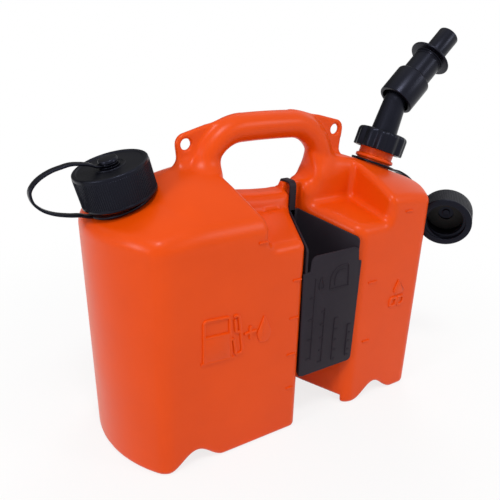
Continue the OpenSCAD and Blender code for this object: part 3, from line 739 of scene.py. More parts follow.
@dataclass(frozen=True)
class Neck:
    """A threaded neck with a bead that keeps the tether's ring down."""

    name: str
    axes: Axes
    r: float
    height: float
    bead: float
    wall: float = 3.0
    root: float = 12.0
    thread_end: float = 4.0

    def shape(self) -> Shape:
        """Returns the neck on its own axes."""
        r, bore, high, bead = self.r, self.r - self.wall, self.height, self.bead
        out = r + THREAD.depth - 0.2
        profile = rounded(
            [
                (bore, -self.root, 0), (r, -self.root, 0), (r, bead - 2.2, 0.6),
                (out, bead - 1.8, 1.5), (out, bead + 1.8, 1.5), (r, bead + 2.2, 0.8),
                (r, high, 0.8), (bore, high, 0.8),
            ]
        )
        low = high - self.thread_end - THREAD.turns * THREAD.pitch
        return lathe(profile).join(THREAD.wound(r, low, 1))


END_SLOPE = math.radians(20.5)
FUEL_NECK = leaning((-145.0, 0, 237.9738), -math.radians(15.5))
OIL_NECK = leaning((143.0, 0, 238.7216), END_SLOPE)
NECKS = (
    Neck("fuel_neck", FUEL_NECK, r=23.5, height=30.4, bead=7.24),
    Neck("oil_neck", OIL_NECK, r=18.5, height=29.7, bead=6.6),
)
# Height of the fuel cap's top on its neck, and the depth of a cap's dish.
FUEL_CAP_TOP = 35.2
DISH = 1.0
# The hanging oil cap, from its top to its mouth.
OIL_CAP = Axes(
    (208.062647, -56.0, 191.442002),
    (-0.7646035, -0.5973737, -0.2419219),
    (0.19063, 0.148938, -0.970296),
)


# The blown body

# Farther than any point of the object.
FAR = 1e3


def soft_max(a: Grid, b: Grid, r: float | Grid) -> Grid:
    """Returns where two solids overlap, with their common edge rounded by r."""
    corner = np.hypot(np.maximum(a + r, 0), np.maximum(b + r, 0))
    return np.minimum(np.maximum(a, b), -r) + corner


def soft_min(a: Grid, b: Grid, r: float | Grid) -> Grid:
    """Returns two solids joined, with a fillet of r between them."""
    return -soft_max(-a, -b, r)


def eased_max(a: Grid, b: Grid, width: float) -> Grid:
    """Returns the larger of two values, eased over a width where they cross."""
    h = np.maximum(width - np.abs(a - b), 0) / width
    return np.maximum(a, b) + h * h * width / 4


def outline_distance(u: Grid, v: Grid, corners: Sequence[Flat]) -> Grid:
    """Returns the signed distance of flat points to a closed outline, negative inside."""
    near = np.full(u.shape, FAR**3)
    inside = np.zeros(u.shape, bool)
    for (ax, ay), (bx, by) in zip(corners, list(corners[1:]) + [corners[0]]):
        dx, dy = bx - ax, by - ay
        t = np.clip(((u - ax) * dx + (v - ay) * dy) / (dx * dx + dy * dy), 0, 1)
        near = np.minimum(near, (u - ax - t * dx) ** 2 + (v - ay - t * dy) ** 2)
        if dy:
            inside ^= ((ay > v) != (by > v)) & (u < ax + dx * (v - ay) / dy)
    return np.where(inside, -1, 1) * np.sqrt(near)


def surface_nets(values: Grid, origin: np.ndarray, step: float) -> Shape:
    """Finds the skin where a grid of values changes sign.

    Args:
        values: Grid of signed distances.
        origin: Place of the grid's first point.
        step: Distance between grid points.

    Returns:
        A closed skin of four-sided faces, turned outwards.
    """
    inside = values < 0
    size = np.array(values.shape) - 1
    offsets = np.array(list(itertools.product((0, 1), repeat=3)))
    count = sum(
        inside[i : size[0] + i, j : size[1] + j, k : size[2] + k].astype(np.int8)
        for i, j, k in offsets
    )
    active = (count > 0) & (count < 8)
    number = np.full(active.shape, -1)
    number[active] = np.arange(active.sum())
    cells = np.argwhere(active)
    total, hits = np.zeros((len(cells), 3)), np.zeros(len(cells))
    for a in offsets:
        for axis in range(3):
            if a[axis]:
                continue
            b = a.copy()
            b[axis] = 1
            va, vb = values[tuple((cells + a).T)], values[tuple((cells + b).T)]
            cross = (va < 0) != (vb < 0)
            share = va[cross] / (va[cross] - vb[cross])
            total[cross] += a + share[:, None] * (b - a)
            hits[cross] += 1
    points = origin + step * (cells + total / hits[:, None])
    faces = []
    for axis in range(3):
        u, v = (axis + 1) % 3, (axis + 2) % 3
        low = np.take(inside, range(size[axis]), axis)
        high = np.take(inside, range(1, size[axis] + 1), axis)
        edges = np.argwhere(low != high)
        for way in (u, v):
            edges = edges[(edges[:, way] > 0) & (edges[:, way] < size[way])]
        ring = []
        for du, dv in ((1, 1), (0, 1), (0, 0), (1, 0)):
            cell = edges.copy()
            cell[:, u] -= du
            cell[:, v] -= dv
            ring.append(number[tuple(cell.T)])
        quads = np.array(ring).T
        turn = high[tuple(edges.T)]
        quads[turn] = quads[turn][:, ::-1]
        faces += quads.tolist()
    return Shape(points, faces)


@dataclass
class BodyMoulding:
    """The orange blow moulding: two tanks, web, handle, ears and the roots of the necks.

    Fields that end in _square turn a height or gap beside a slope into the distance to it.
    """

    # Tanks
    half_depth: float = 75.5
    end_x: float = 179.7
    end_bow: float = 34.0
    end_taper: float = 6.5
    shoulder: float = 225.0
    roof_slope: float = 0.55
    roof_square: float = 0.876
    end_slope: float = 0.374
    crown_square: float = 0.937
    crown_ease: float = 16.0
    crown_kick: Flat = (50.0, 0.3)
    edge_r: float = 7.0
    shoulder_r: float = 9.0
    roof_bulge: float = 3.5
    oil_bow: float = 24.5
    oil_taper: float = 4.0
    oil_edge_r: float = 4.5
    oil_shoulder_r: float = 6.5
    # Feet
    foot_r: float = 3.5
    foot_square: float = 0.85
    fuel_arch: float = 114.0
    oil_arch: float = 105.0
    arch_half: float = 29.0
    arch_h: float = 15.5
    lift_h: float = 8.8
    lift_w: float = 12.0
    lift_y: float = 67.5
    lift_r: float = 3.0
    # The gap between the tanks, and the web in it
    slot_x: float = 30.5
    slot_mouth: float = 33.85
    slot_neck: float = 8.0
    slot_rate: float = 0.4008
    slot_square: float = 0.93
    slot_r: float = 10.0
    fuel_slot_r: float = 4.5
    web_half: Flat = (10.0, 4.0)
    web_z: Flat = (12.0, 234.5)
    web_r: float = 4.0
    # The recess over the gap: sides as place, spread to the back, its power, and lean
    spine: float = 18.6
    spine_r: float = 14.0
    recess_floor: Flat = (214.0, 0.2285)
    recess_z: float = 205.0
    recess_left: tuple[float, float, float, float] = (-38.0, 15.0, 0.75, 0.12)
    recess_right: Point = (102.0, 5.0, 0.05)
    recess_square: Point = (0.975, 0.95, 0.99)
    recess_r: float = 6.0
    lip_r: float = 9.0
    lip_z: Flat = (224.0, 10.0)
    # The saddle under the grip, and the oil side's bevel
    saddle_x: tuple[float, ...] = (-33, -11, 9, 31, 38, 54)
    saddle_z: tuple[float, ...] = (232.4, 229.8, 228.4, 229, 235.5, 239)
    saddle_ends: Flat = (-55.2, 53.5)
    saddle_square: float = 0.8
    saddle_r: float = 9.0
    saddle_edges: Flat = (4.0, 6.0)
    bevel_edge: Point = (238.0, 33.0, 0.158)
    bevel_steep: float = 1.8
    bevel_deep: float = 4.0
    bevel_x: Flat = (30.5, 98.0)
    bevel_r: float = 3.5
    # Handle and ears
    grip_r: float = 13.25
    grip_z: float = 292.25
    grip_bow: Flat = (0.0006, 0.012)
    leg_x: float = 68.5
    leg_low: float = 232.0
    bend: float = 40.0
    handle_fillets: Flat = (9.0, 6.0)
    ear: Flat = (84.4, 282.0)
    ear_plan: tuple[Flat, ...] = (
        (94.1, 279.6), (89.4, 242), (68.5, 242), (28.5, 303.5), (64.5, 297.5), (87.4, 291.5),
    )
    ear_r: float = 10.0
    ear_hole_r: float = 5.25
    ear_t: float = 5.0
    ear_edges: Flat = (0.8, 1.6)
    ear_fillet: float = 3.5
    neck_depth: float = 70.0
    # The grid on which the skin is found
    grid_low: Point = (-184.0, -79.0, -4.0)
    grid_high: Point = (184.0, 79.0, 309.0)
    cell: float = 2.2
    quick_cell: float = 4.0

    def bow(self, side: int, share: Grid | float) -> tuple[Grid, Grid]:
        """Returns the middle and radius of an end's bow at a share of the shoulder's height."""
        taper = (self.oil_taper if side > 0 else self.end_taper) * (1 - share)
        depth = self.oil_bow if side > 0 else self.end_bow - taper
        radius = (self.half_depth**2 + depth**2) / (2 * depth)
        return self.end_x - taper - radius, radius

    def tank(self, side: int, x: Grid, y: Grid, z: Grid) -> Grid:
        """Returns the distance to one tank without its recesses; side -1 is fuel and 1 oil."""
        oil = side > 0
        out, arch = (x, self.oil_arch) if oil else (-x, self.fuel_arch)
        middle, radius = self.bow(side, np.clip(z / self.shoulder, 0, 1))
        end = np.hypot(np.maximum(out - middle, 0), y) - radius
        inner = self.half_depth - y
        slot = np.maximum(self.slot_neck, self.slot_mouth - self.slot_rate * inner)
        gap = slot - side * (x - self.slot_x)
        wall = soft_max(y - self.half_depth, end, self.oil_edge_r if oil else self.edge_r)
        slot_r = self.slot_r if oil else self.fuel_slot_r
        wall = soft_max(wall, gap * self.slot_square, slot_r)
        middle, radius = self.bow(side, 1.0)
        inward = middle + np.sqrt(np.maximum(radius**2 - y * y, 1)) - out
        rise, bulge = self.end_slope * inward, 0
        if not oil:
            start, kick = self.crown_kick
            rise = rise + kick * np.maximum(inward - start, 0)
            bulge = self.roof_bulge * np.sin(math.pi * np.clip(y / self.half_depth, 0, 1))
        roof = (z - self.shoulder - self.roof_slope * inner - bulge) * self.roof_square
        crown = (z - self.shoulder - rise) * self.crown_square
        top = eased_max(roof, crown, self.crown_ease)
        tank = soft_max(wall, top, self.oil_shoulder_r if oil else self.shoulder_r)
        u = np.clip((out - arch) / self.arch_half, -1, 1)
        foot = (self.arch_h / 2 * (1 + np.cos(math.pi * u)) - z) * self.foot_square
        lift = np.maximum(np.maximum(z - self.lift_h, -gap - self.lift_w), y - self.lift_y)
        return soft_max(soft_max(tank, foot, self.foot_r), -lift, self.lift_r)

    def recess(self, x: Grid, y: Grid, z: Grid) -> Grid:
        """Returns the distance to the space over the gap."""
        floor_square, left_square, right_square = self.recess_square
        high, fall = self.recess_floor
        floor = (high - fall * (y - self.spine) - z) * floor_square
        share = (self.half_depth - y) / (self.half_depth - self.spine)
        up = z - self.recess_z
        place, spread, power, lean = self.recess_left
        left = (place - spread * np.clip(share, 0, 2) ** power - lean * up - x) * left_square
        place, spread, lean = self.recess_right
        right = (x - place + spread * share - lean * up) * right_square
        space = soft_max(floor, self.spine - y, self.recess_r)
        return soft_max(space, np.maximum(left, right), self.recess_r)

    def saddle(self, x: Grid, y: Grid, z: Grid) -> Grid:
        """Returns the distance to the space under the grip, over the rounded back of the spine."""
        off = np.clip(y - self.spine + self.spine_r, 0, self.spine_r)
        drop = self.spine_r - np.sqrt(self.spine_r**2 - off * off)
        low = (np.interp(x, self.saddle_x, self.saddle_z) - drop - z) * self.saddle_square
        left, right = self.saddle_ends
        space = soft_max(low, np.maximum(left - x, x - right), self.saddle_r)
        return np.maximum(space, y - self.spine)

    def bevel(self, x: Grid, y: Grid, z: Grid) -> Grid:
        """Returns the distance to the space over the oil side's bevelled edge."""
        (high, start, slope), steep = self.bevel_edge, self.bevel_steep
        edge = high + slope * (x - start)
        face = (edge + (self.spine - y) * steep - z) / math.hypot(1, steep)
        left, right = self.bevel_x
        ends = np.maximum(left - x, x - right)
        return np.maximum(np.maximum(face, y - self.spine - self.bevel_deep), ends)

    def handle(self, x: Grid, y: Grid, z: Grid) -> Grid:
        """Returns the distance to the grip with its legs and ears."""
        out, run, knee = np.abs(x), self.leg_x - self.bend, self.grip_z - self.bend
        bow, slope = self.grip_bow
        ear_z, z = z, z + bow * x * x + slope * x
        grip = np.hypot(np.maximum(out - run, 0), z - self.grip_z)
        leg = np.hypot(out - self.leg_x, np.maximum(z - knee, 0))
        leg = np.hypot(leg, np.maximum(self.leg_low - z, 0))
        corner = np.abs(np.hypot(out - run, z - knee) - self.bend)
        corner = np.where((out > run) & (z > knee), corner, FAR)
        tube = np.hypot(np.minimum(np.minimum(grip, leg), corner), y) - self.grip_r
        away = np.hypot(out - self.ear[0], ear_z - self.ear[1])
        plate = np.minimum(outline_distance(out, ear_z, self.ear_plan), away - self.ear_r)
        hole_edge, edge = self.ear_edges
        plate = soft_max(plate, self.ear_hole_r - away, hole_edge)
        return soft_min(tube, soft_max(plate, y - self.ear_t / 2, edge), self.ear_fillet)

    def distance(self, points: np.ndarray) -> Grid:
        """Returns the signed distance of points to the body.

        Args:
            points: Rows of x, y and z.

        Returns:
            Distances, negative inside.
        """
        x, y, z = points[..., 0], np.abs(points[..., 1]), points[..., 2]
        top, run = self.lip_z
        lip = self.recess_r + (self.lip_r - self.recess_r) * np.clip((top - z) / run, 0, 1)
        recess, saddle = self.recess(x, y, z), self.saddle(x, y, z)
        fuel, oil = (soft_max(self.tank(side, x, y, z), -recess, lip) for side in (-1, 1))
        fuel_r, oil_r = self.saddle_edges
        fuel = soft_max(fuel, -saddle, fuel_r)
        oil = soft_max(soft_max(oil, -self.bevel(x, y, z), self.bevel_r), -saddle, oil_r)
        (wide, deep), (low, high) = self.web_half, self.web_z
        web = np.maximum(np.abs(x - self.slot_x) - wide, y - deep)
        web = np.maximum(web, np.maximum(low - z, z - high))
        body = soft_min(np.minimum(fuel, oil), web, self.web_r)
        body = soft_min(body, self.handle(x, y, z), np.where(x < 0, *self.handle_fillets))
        for neck in NECKS:
            rel = points - np.asarray(neck.axes.origin)
            high = rel @ unit(neck.axes.along)
            away = np.sqrt(np.maximum(np.sum(rel * rel, axis=-1) - high * high, 0))
            bore = np.maximum(away - (neck.r - neck.wall), -self.neck_depth - high)
            body = np.maximum(body, -bore)
        return body

    def gradient(self, points: np.ndarray, step: float = 0.05) -> np.ndarray:
        """Returns the slope of the distance at points."""
        made = np.empty_like(points)
        for axis in range(3):
            move = np.zeros(3)
            move[axis] = step
            rise = self.distance(points + move) - self.distance(points - move)
            made[:, axis] = rise / (2 * step)
        return made

    def settle(self, points: np.ndarray, rounds: int = 3) -> np.ndarray:
        """Moves points onto the body's skin."""
        for _ in range(rounds):
            slope = self.gradient(points)
            steep = np.maximum(np.sum(slope * slope, axis=1), 0.2)[:, None]
            push = self.distance(points)[:, None] * slope / steep
            points = points - np.clip(push, -self.cell, self.cell)
        return points

    def skin(self) -> Shape:
        """Finds the body's skin on a grid and settles its points."""
        step = self.cell
        ways = [np.arange(a, b + step, step) for a, b in zip(self.grid_low, self.grid_high)]
        ways[1] = ways[1] - (ways[1][0] + ways[1][-1]) / 2
        grid = np.stack(np.meshgrid(*ways, indexing="ij"), axis=-1)
        shape = surface_nets(self.distance(grid), grid[0, 0, 0], step)
        shape.points = self.settle(shape.points)
        return shape

    def build(self) -> None:
        """Makes the body and its necks and puts them on the frame."""
        body = self.skin().piece("body_moulding", ORANGE, sharp=180, recalc=False)
        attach(body, "tank")
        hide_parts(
            "fuel_tank", "oil_tank", "mid_web", "carry_handle", "left_ear", "right_ear"
        )
        for neck in NECKS:
            piece = neck.shape().placed(neck.axes).piece(neck.name, ORANGE)
            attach(piece, "tank")


# The marks on the front


@dataclass
class FrontMarks:
    """Raised level ticks and signs on the front of the moulding, as x and z."""

    body: BodyMoulding
    ticks: tuple[Point, ...] = (
        (-54, -44.6, 209), (-15.3, -6, 165.2), (-16.6, -6.9, 126.5), (-17.3, -8.3, 87.5),
        (-16.3, -8.8, 49.5), (80.6, 91.5, 141), (80.7, 89.9, 73.2), (122, 131, 210),
    )
    lines: tuple[tuple[Corner, ...], ...] = (
        ((-110.5, 107, 0), (-77.6, 104.9, 0)),
        ((-107.8, 106.9, 0), (-107.7, 148.2, 3), (-82.3, 146.3, 3), (-80.4, 105.3, 0)),
        ((-107, 131.8, 0), (-82, 130, 0)),
        (
            (-80.6, 123.2, 0), (-78, 123.4, 1), (-75.8, 107, 3), (-68.4, 107, 3),
            (-70.6, 126.6, 1), (-73.2, 146, 2), (-77.9, 145.2, 0),
        ),
        ((-77, 142.5, 0), (-75.9, 130.2, 1), (-71.4, 128.8, 0)),
        ((-60.7, 131.4, 0), (-60.3, 118.5, 0)),
        ((-66.7, 124.6, 0), (-54.3, 125.3, 0)),
    )
    loops: tuple[tuple[Corner, ...], ...] = (
        ((114.2, 106.2, 2), (122.4, 106.2, 2), (122.8, 115.2, 2), (114.8, 115.2, 3)),
        ((125.2, 105.8, 2), (133.2, 105.8, 3), (133.6, 115, 2), (125.4, 115, 2)),
    )
    panels: tuple[tuple[Corner, ...], ...] = (
        ((-107.8, 106.9, 0.5), (-80.4, 105.3, 0.5), (-81.8, 130, 0.5), (-107.6, 131.8, 0.5)),
        (
            (-45.8, 138.5, 0.4), (-53.4, 121.5, 5), (-50.5, 111.5, 5), (-40, 111.5, 5),
            (-38.2, 121.5, 5),
        ),
        ((123.3, 135.5, 0.4), (117.8, 123.5, 3), (120, 119.4, 3), (131.5, 119.4, 3), (132, 123, 3)),
    )
    high: float = 1.5
    high_step: float = 0.06
    tick_size: Flat = (1.9, 1.2)
    tick_fall: float = 0.3
    line_w: float = 2.8
    loop_w: float = 3.4
    panel_proud: float = 0.2

    def line(self, flat: np.ndarray, wide: float, high: float, loop: bool) -> Shape:
        """Returns one raised line, laid on the moulding."""
        front = np.full(len(flat), -self.body.half_depth)
        path = self.body.settle(np.column_stack([flat[:, 0], front, flat[:, 1]]))
        outs = self.body.gradient(path)
        return ridge(path, outs / np.linalg.norm(outs, axis=1)[:, None], wide, high, loop)

    def build(self) -> None:
        """Makes the marks and puts them on the frame."""
        shape = Shape()
        for left, right, z in self.ticks:
            flat = resampled([(left, z), (right, z - self.tick_fall)], False)
            shape.join(self.line(flat, *self.tick_size, False))
        for i, corners in enumerate(self.lines):
            # Lines that cross differ in height, so that no two tops share a plane.
            high = self.high + self.high_step * (i % 3)
            flat = resampled(rounded(corners, closed=False), False)
            shape.join(self.line(flat, self.line_w, high, False))
        for corners in self.loops:
            flat = resampled(rounded(corners), True)
            shape.join(self.line(flat, self.loop_w, self.high, True))
        front = Axes((0, SINK - self.body.half_depth, 0), (0, -1, 0), (1, 0, 0))
        for corners in self.panels:
            panel = slab(rounded(corners), self.high + self.panel_proud, 0.5)
            shape.join(panel.placed(front))
        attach(shape.piece("front_marks", ORANGE), "tank")


# The tool tray


@dataclass
class ToolTray:
    """A face in front of the gap, side walls, back and floor in it, and a hook over the web."""

    middle: float = 30.5
    face_x: float = 31.2
    face_y: float = -77.1
    wall: float = 2.0
    base: float = 58.0
    front: tuple[float, float] = (32.47, -76.1)
    back: tuple[float, float] = (5.98, -10.0)
    back_z: float = 208.0
    side_z: float = 193.0
    hook_x: float = 28.0
    hook_w: float = 7.6
    hook_z: float = 236.8
    hook_end: Flat = (6.3, 225.5)
    hook_root: float = 12.0
    edge: float = 0.5
    hook_edge: float = 0.4
    line_size: Flat = (1.2, 0.8)
    line_step: float = 4.0
    # Each gauge: its x, lowest and highest point, the length of its ticks, and their heights
    gauges: tuple[tuple[float, float, float, float, tuple[float, ...]], ...] = (
        (10.4, 74.6, 161.8, -5.6, (76, 97.5, 119.5, 142.5)),
        (24.4, 68.3, 127.7, -4.2, (68.6, 82, 96, 111, 124.7)),
        (37.8, 66.5, 113.1, 4.4, (66.5, 77, 88.5, 100.7, 113)),
        (56, 65.8, 101.4, 4, (65.8, 72.5, 82, 91.8, 101.3)),
    )
    # A quarter disc, a bent line in it and a drop
    signs: tuple[tuple[Corner, ...], ...] = (
        ((51.5, 146.4, 0), (50, 169.3, 1), (28.6, 169.3, 14), (28.6, 146.6, 1), (51.5, 146.4, 0)),
        ((34.5, 150, 0), (34.5, 158, 0), (36.6, 162.5, 0), (40, 164.5, 0), (46, 164.5, 0)),
        (
            (17.6, 161.5, 0), (14.6, 153.5, 3), (16.2, 149.6, 2), (20.6, 149.2, 2), (21, 153, 3),
            (17.6, 161.5, 0),
        ),
    )

    def face(self) -> Shape:
        """Returns the face with its raised gauge lines and signs."""
        outline = rounded(
            [
                (-33.3, self.base, 5), (33.3, self.base, 5), (35.4, 169, 1), (31.7, 170, 1),
                (30.7, 184.8, 7), (-26.7, 184.8, 7), (-27.7, 170, 1), (-35.4, 169, 1),
            ]
        )
        back = Axes((self.face_x, self.face_y + self.wall, 0), (0, -1, 0), (1, 0, 0))
        shape = slab(outline, self.wall, self.edge).placed(back)
        lines = [[(x, low), (x, high)] for x, low, high, _, _ in self.gauges]
        lines += [[(x, z), (x + tick, z)] for x, _, _, tick, zs in self.gauges for z in zs]
        lines += [rounded(sign, closed=False) for sign in self.signs]
        for line in lines:
            flat = resampled(line, False, self.line_step)
            path = np.column_stack([flat[:, 0], np.full(len(flat), self.face_y), flat[:, 1]])
            outs = np.tile([0.0, -1.0, 0.0], (len(path), 1))
            shape.join(ridge(path, outs, *self.line_size))
        return shape

    def sides(self) -> Shape:
        """Returns the two side walls."""
        (half, y), (back_half, back_y) = self.front, self.back
        run = math.hypot(half - back_half, back_y - y)
        lean, deep = (half - back_half) / run, (back_y - y) / run
        low, high = self.base, self.back_z
        outline = rounded([(0, low, 1), (run, low, 1), (run, high, 1), (0, self.side_z, 5)])
        wall = slab(outline, self.wall, self.edge)
        left = wall.placed(Axes((self.middle - half, y, 0), (deep, -lean, 0), (lean, deep, 0)))
        start = (self.middle + half - deep * self.wall, y - lean * self.wall, 0)
        return left.join(wall.placed(Axes(start, (deep, lean, 0), (-lean, deep, 0))))

    def inside(self) -> Shape:
        """Returns the floor, the back and the hook."""
        (half, y), (back_half, back_y) = self.front, self.back
        x, w = self.middle, self.wall
        left, right = x - back_half, x + back_half
        plan = [(x - half, y), (x + half, y), (right, back_y), (left, back_y)]
        shape = slab(plan, w, self.edge).placed(Axes((0, 0, self.base), (0, 0, 1), (1, 0, 0)))
        low, high = self.base, self.back_z
        panel = [(left, low), (right, low), (right, high), (left, high)]
        shape.join(slab(panel, w, self.edge).placed(Axes((0, back_y, 0), (0, -1, 0), (1, 0, 0))))
        root, top, (end, tip) = high - self.hook_root, self.hook_z, self.hook_end
        hook = rounded(
            [
                (back_y - w, root, 0), (back_y, root, 0), (back_y, top - w, 3.5),
                (end - w, top - w, 1), (end - w, tip, 0), (end, tip, 0.8), (end, top, 3.2),
                (back_y - w, top, 5.5),
            ]
        )
        side = Axes((self.hook_x - self.hook_w / 2, 0, 0), (1, 0, 0), (0, 1, 0))
        return shape.join(slab(hook, self.hook_w, self.hook_edge).placed(side))

    def build(self) -> None:
        """Makes the tray and puts it on the frame."""
        tray = self.face().join(self.sides()).join(self.inside()).piece("tool_tray", GREY)
        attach(tray, "tray")
        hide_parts("tool_tray")


# Caps and their tethers


@dataclass
class ScrewCap:
    """A tethered screw cap, drawn from its closed top at zero to its mouth."""

    name: str
    body: str
    axes: Axes
    diameter: float
    height: float
    thread_r: float
    thread_low: float
    ribs: int
    top: float = 3.2
    rim: float = 4.0
    stem_r: float = 3.08
    thread_clear: float = 0.5
    rib_share: float = 0.3
    rib_taper: float = 0.5

    def shell(self) -> Shape:
        """Returns the turned cap with its inner thread."""
        r, inner, high = self.diameter / 2, self.thread_r + self.thread_clear, self.height
        rim, ring = r - self.rim, DISH - 0.6
        profile = rounded(
            [
                (self.stem_r, DISH, 0), (11.6, DISH, 0.3), (11.8, ring, 0.3), (13.2, ring, 0.3),
                (13.4, DISH, 0.3), (rim - 1, DISH, 0.5), (rim, 0.1, 0.5), (r - 0.4, 0, 1.6),
                (r - 0.4, 2.6, 0.3), (r - 0.6, high - 2.4, 0.3), (r, high - 2.2, 0.3),
                (r, high, 0.7), (inner, high, 0.4), (inner, self.top, 0.5),
                (self.stem_r, self.top, 0),
            ]
        )
        return lathe(profile, segments=128).join(THREAD.wound(inner, self.thread_low, -1))

    def rib(self) -> Shape:
        """Returns one grip rib on the cap's side."""
        r, wide = self.diameter / 2 - 0.75, math.pi * self.diameter / self.ribs * self.rib_share
        low, high, taper = 3.0, self.height - 2.6, self.rib_taper
        arc = [(-wide, -0.1), (-wide * 0.7, 0.4), (0, 0.62), (wide * 0.7, 0.4), (wide, -0.1)]
        rings = []
        for z, share in ((low, 0.2), (low + taper, 1.0), (high - taper, 1.0), (high, 0.2)):
            rings.append(np.array([[r + out * share, across, z] for across, out in arc]))
        return loft(rings)

    def build(self) -> None:
        """Makes the cap and puts it on the frame."""
        shape = self.shell()
        shape.join(REPEAT.run(self.rib(), self.ribs, (0, 0, 0), TURN / self.ribs, BLACK))
        cap = shape.placed(self.axes).piece(self.name, BLACK)
        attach(cap, self.body)
        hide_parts(self.name)


@dataclass
class Tether:
    """A strap with a ring round a neck, an eye on a cap, and the button that holds the eye."""

    strap_w: float = 7.6
    strap_t: float = 2.2
    ring_w: float = 5.0
    ring_low: float = 0.6
    ring_t: float = 2.4
    ring_clear: float = 0.5
    eye_r: float = 8.0
    eye_low: float = 1.4
    button_r: float = 9.0
    stem_r: float = 3.0
    stem_clear: float = 0.3

    def section(self) -> list[Flat]:
        """Returns the strap's rounded section."""
        w, t = self.strap_w / 2, self.strap_t / 2
        return rounded([(-w, -t, 0.8), (w, -t, 0.8), (w, t, 0.8), (-w, t, 0.8)], steps=3)

    def ring(self, neck_r: float) -> Shape:
        """Returns the ring round a neck, on the neck's axes."""
        r, low = neck_r + self.ring_clear, self.ring_low
        out, high = r + self.ring_w, low + self.ring_t
        return lathe(rounded([(r, low, 0.5), (out, low, 0.8), (out, high, 0.8), (r, high, 0.5)]))

    def eye(self) -> Shape:
        """Returns the eye over a cap's dish at zero."""
        r, low, high = self.stem_r + self.stem_clear, self.eye_low, self.eye_low + self.strap_t
        out = self.eye_r
        return lathe(rounded([(r, low, 0.3), (out, low, 0.8), (out, high, 0.8), (r, high, 0.3)]))

    def button(self) -> Shape:
        """Returns the button over a cap's dish at zero."""
        r, stem = self.button_r, self.stem_r
        low = self.eye_low + self.strap_t + self.stem_clear
        profile = [
            (0, -3.7, 0), (stem + 1, -3.7, 0.5), (stem + 1, -2.5, 0), (stem, -2.5, 0),
            (stem, 0.3, 0), (r, 0.3, 0.3), (r, 1.1, 0.3), (stem, 1.1, 0), (stem, low, 0),
            (r, low, 0.5), (r - 1, low + 3, 1.8), (0, low + 3.2, 0),
        ]
        return lathe(rounded(profile, closed=False), closed=False)


@dataclass
class FuelTether(Tether):
    """The standing loop on the fuel cap."""

    loop_out: float = 39.2
    loop_rise: float = 11.1
    loop_low: float = 4.2
    neck_r: float = NECKS[0].r
    # Heights on the neck between which the real strap stretches as the cap lifts; this strap keeps
    # its shape
    stretch: Flat = (10.0, 30.0)
    # The loop as shares of its reach and rise, and its end as shares of the eye and of the rise
    course: tuple[Flat, ...] = (
        (-0.05, -0.11), (0.06, -0.085), (0.21, 0), (0.41, 0.08), (0.65, 0.2), (0.83, 0.33),
        (0.94, 0.46), (1, 0.6), (0.98, 0.775), (0.86, 0.885), (0.68, 0.96), (0.45, 1),
        (0.24, 1), (0.03, 0.985),
    )
    ending: tuple[Flat, ...] = ((2.8, 0.7), (2, 0.42), (1.4, 0.1), (0.8, 0))

    def strap(self, dish: float) -> Shape:
        """Returns the strap on the neck's axes, to an eye over a cap's dish."""
        eye_z, low = dish + self.eye_low + self.strap_t / 2, self.loop_low
        reach = self.neck_r + self.ring_clear + self.ring_w
        rise = eye_z + self.loop_rise - low
        points = [(-reach - a * self.loop_out, 0, low + b * rise) for a, b in self.course]
        points += [(-a * self.eye_r, 0, eye_z + b * self.loop_rise) for a, b in self.ending]
        path = spline(points, 10)
        return swept(path, self.section(), np.tile([0.0, 1.0, 0.0], (len(path), 1)))

    def build(self) -> None:
        """Makes strap and button, and puts the button on the frame."""
        dish = FUEL_CAP_TOP - DISH
        held = self.strap(dish).join(self.eye().raised(dish)).placed(FUEL_NECK)
        lying = leaning(FUEL_NECK.origin, -END_SLOPE)
        tether = held.join(self.ring(self.neck_r).placed(lying)).piece("fuel_tether", BLACK)
        start, end = (FUEL_NECK.at(height) for height in self.stretch)
        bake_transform(tether)
        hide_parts("fuel_tether")
        button = self.button().raised(dish).placed(FUEL_NECK).piece("fuel_tether_button", BLACK)
        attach(button, "fuel_button")
        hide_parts("fuel_tether_button")


@dataclass
class OilTether(Tether):
    """The strap over the end of the tank to the hanging oil cap."""

    neck_r: float = NECKS[1].r
    over_x: float = 43.18
    over_move: Point = (10, -5, -3.2)
    cap_place: Point = (77.5, -56.0, -21.5)
    strap_t: float = 1.8
    # A way across the cap's top that the strap comes in by
    comes_by: Point = (-0.2, 1, 0.5)
    # The strap's end: distance from the eye, and height over it
    ending: tuple[Flat, ...] = ((30, 5), (16, 1), (11, 0), (7, 0))

    def build(self, cap_axes: Axes) -> None:
        """Makes strap and button and puts them on the frame.

        Args:
            cap_axes: Axes of the hanging cap, from its top to its mouth.
        """
        turn = Axes((0, 0, 0), OIL_NECK.along, OIL_NECK.across)
        local = np.linalg.inv(turn.place(np.eye(3)))
        way = -unit(cap_axes.along) @ local
        eye = np.asarray(self.cap_place) + way * (self.eye_low + self.strap_t / 2 - DISH)
        ring_z = self.ring_low + self.ring_t / 2
        reach = self.neck_r + self.ring_clear + self.ring_w
        along = unit(np.cross(way, np.cross(self.comes_by, way)))
        over = np.array([self.over_x, -1, ring_z + 0.3])
        points = [(reach - 2, 0, ring_z), ((reach + over[0]) / 2, 0, ring_z + 0.2), over]
        points.append(over + self.over_move)
        points += [eye + along * off + way * up for off, up in self.ending]
        path = spline(points, 10)
        share = np.linspace(0, 1, len(path))[:, None]
        wides = (1 - share) * np.array([0.0, 1.0, 0.0]) + share * np.cross(along, way)
        shape = swept(path, self.section(), wides).join(self.ring(self.neck_r)).placed(OIL_NECK)
        back = Axes(cap_axes.at(DISH), tuple(-unit(cap_axes.along)), cap_axes.across)
        tether = shape.join(self.eye().placed(back)).piece("oil_tether", BLACK)
        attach(tether, "oil_tether")
        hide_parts("oil_tether")
        button = self.button().placed(back).piece("oil_tether_button", BLACK)
        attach(button, "oil_tether")
        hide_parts("oil_tether_button")


# The pour spout


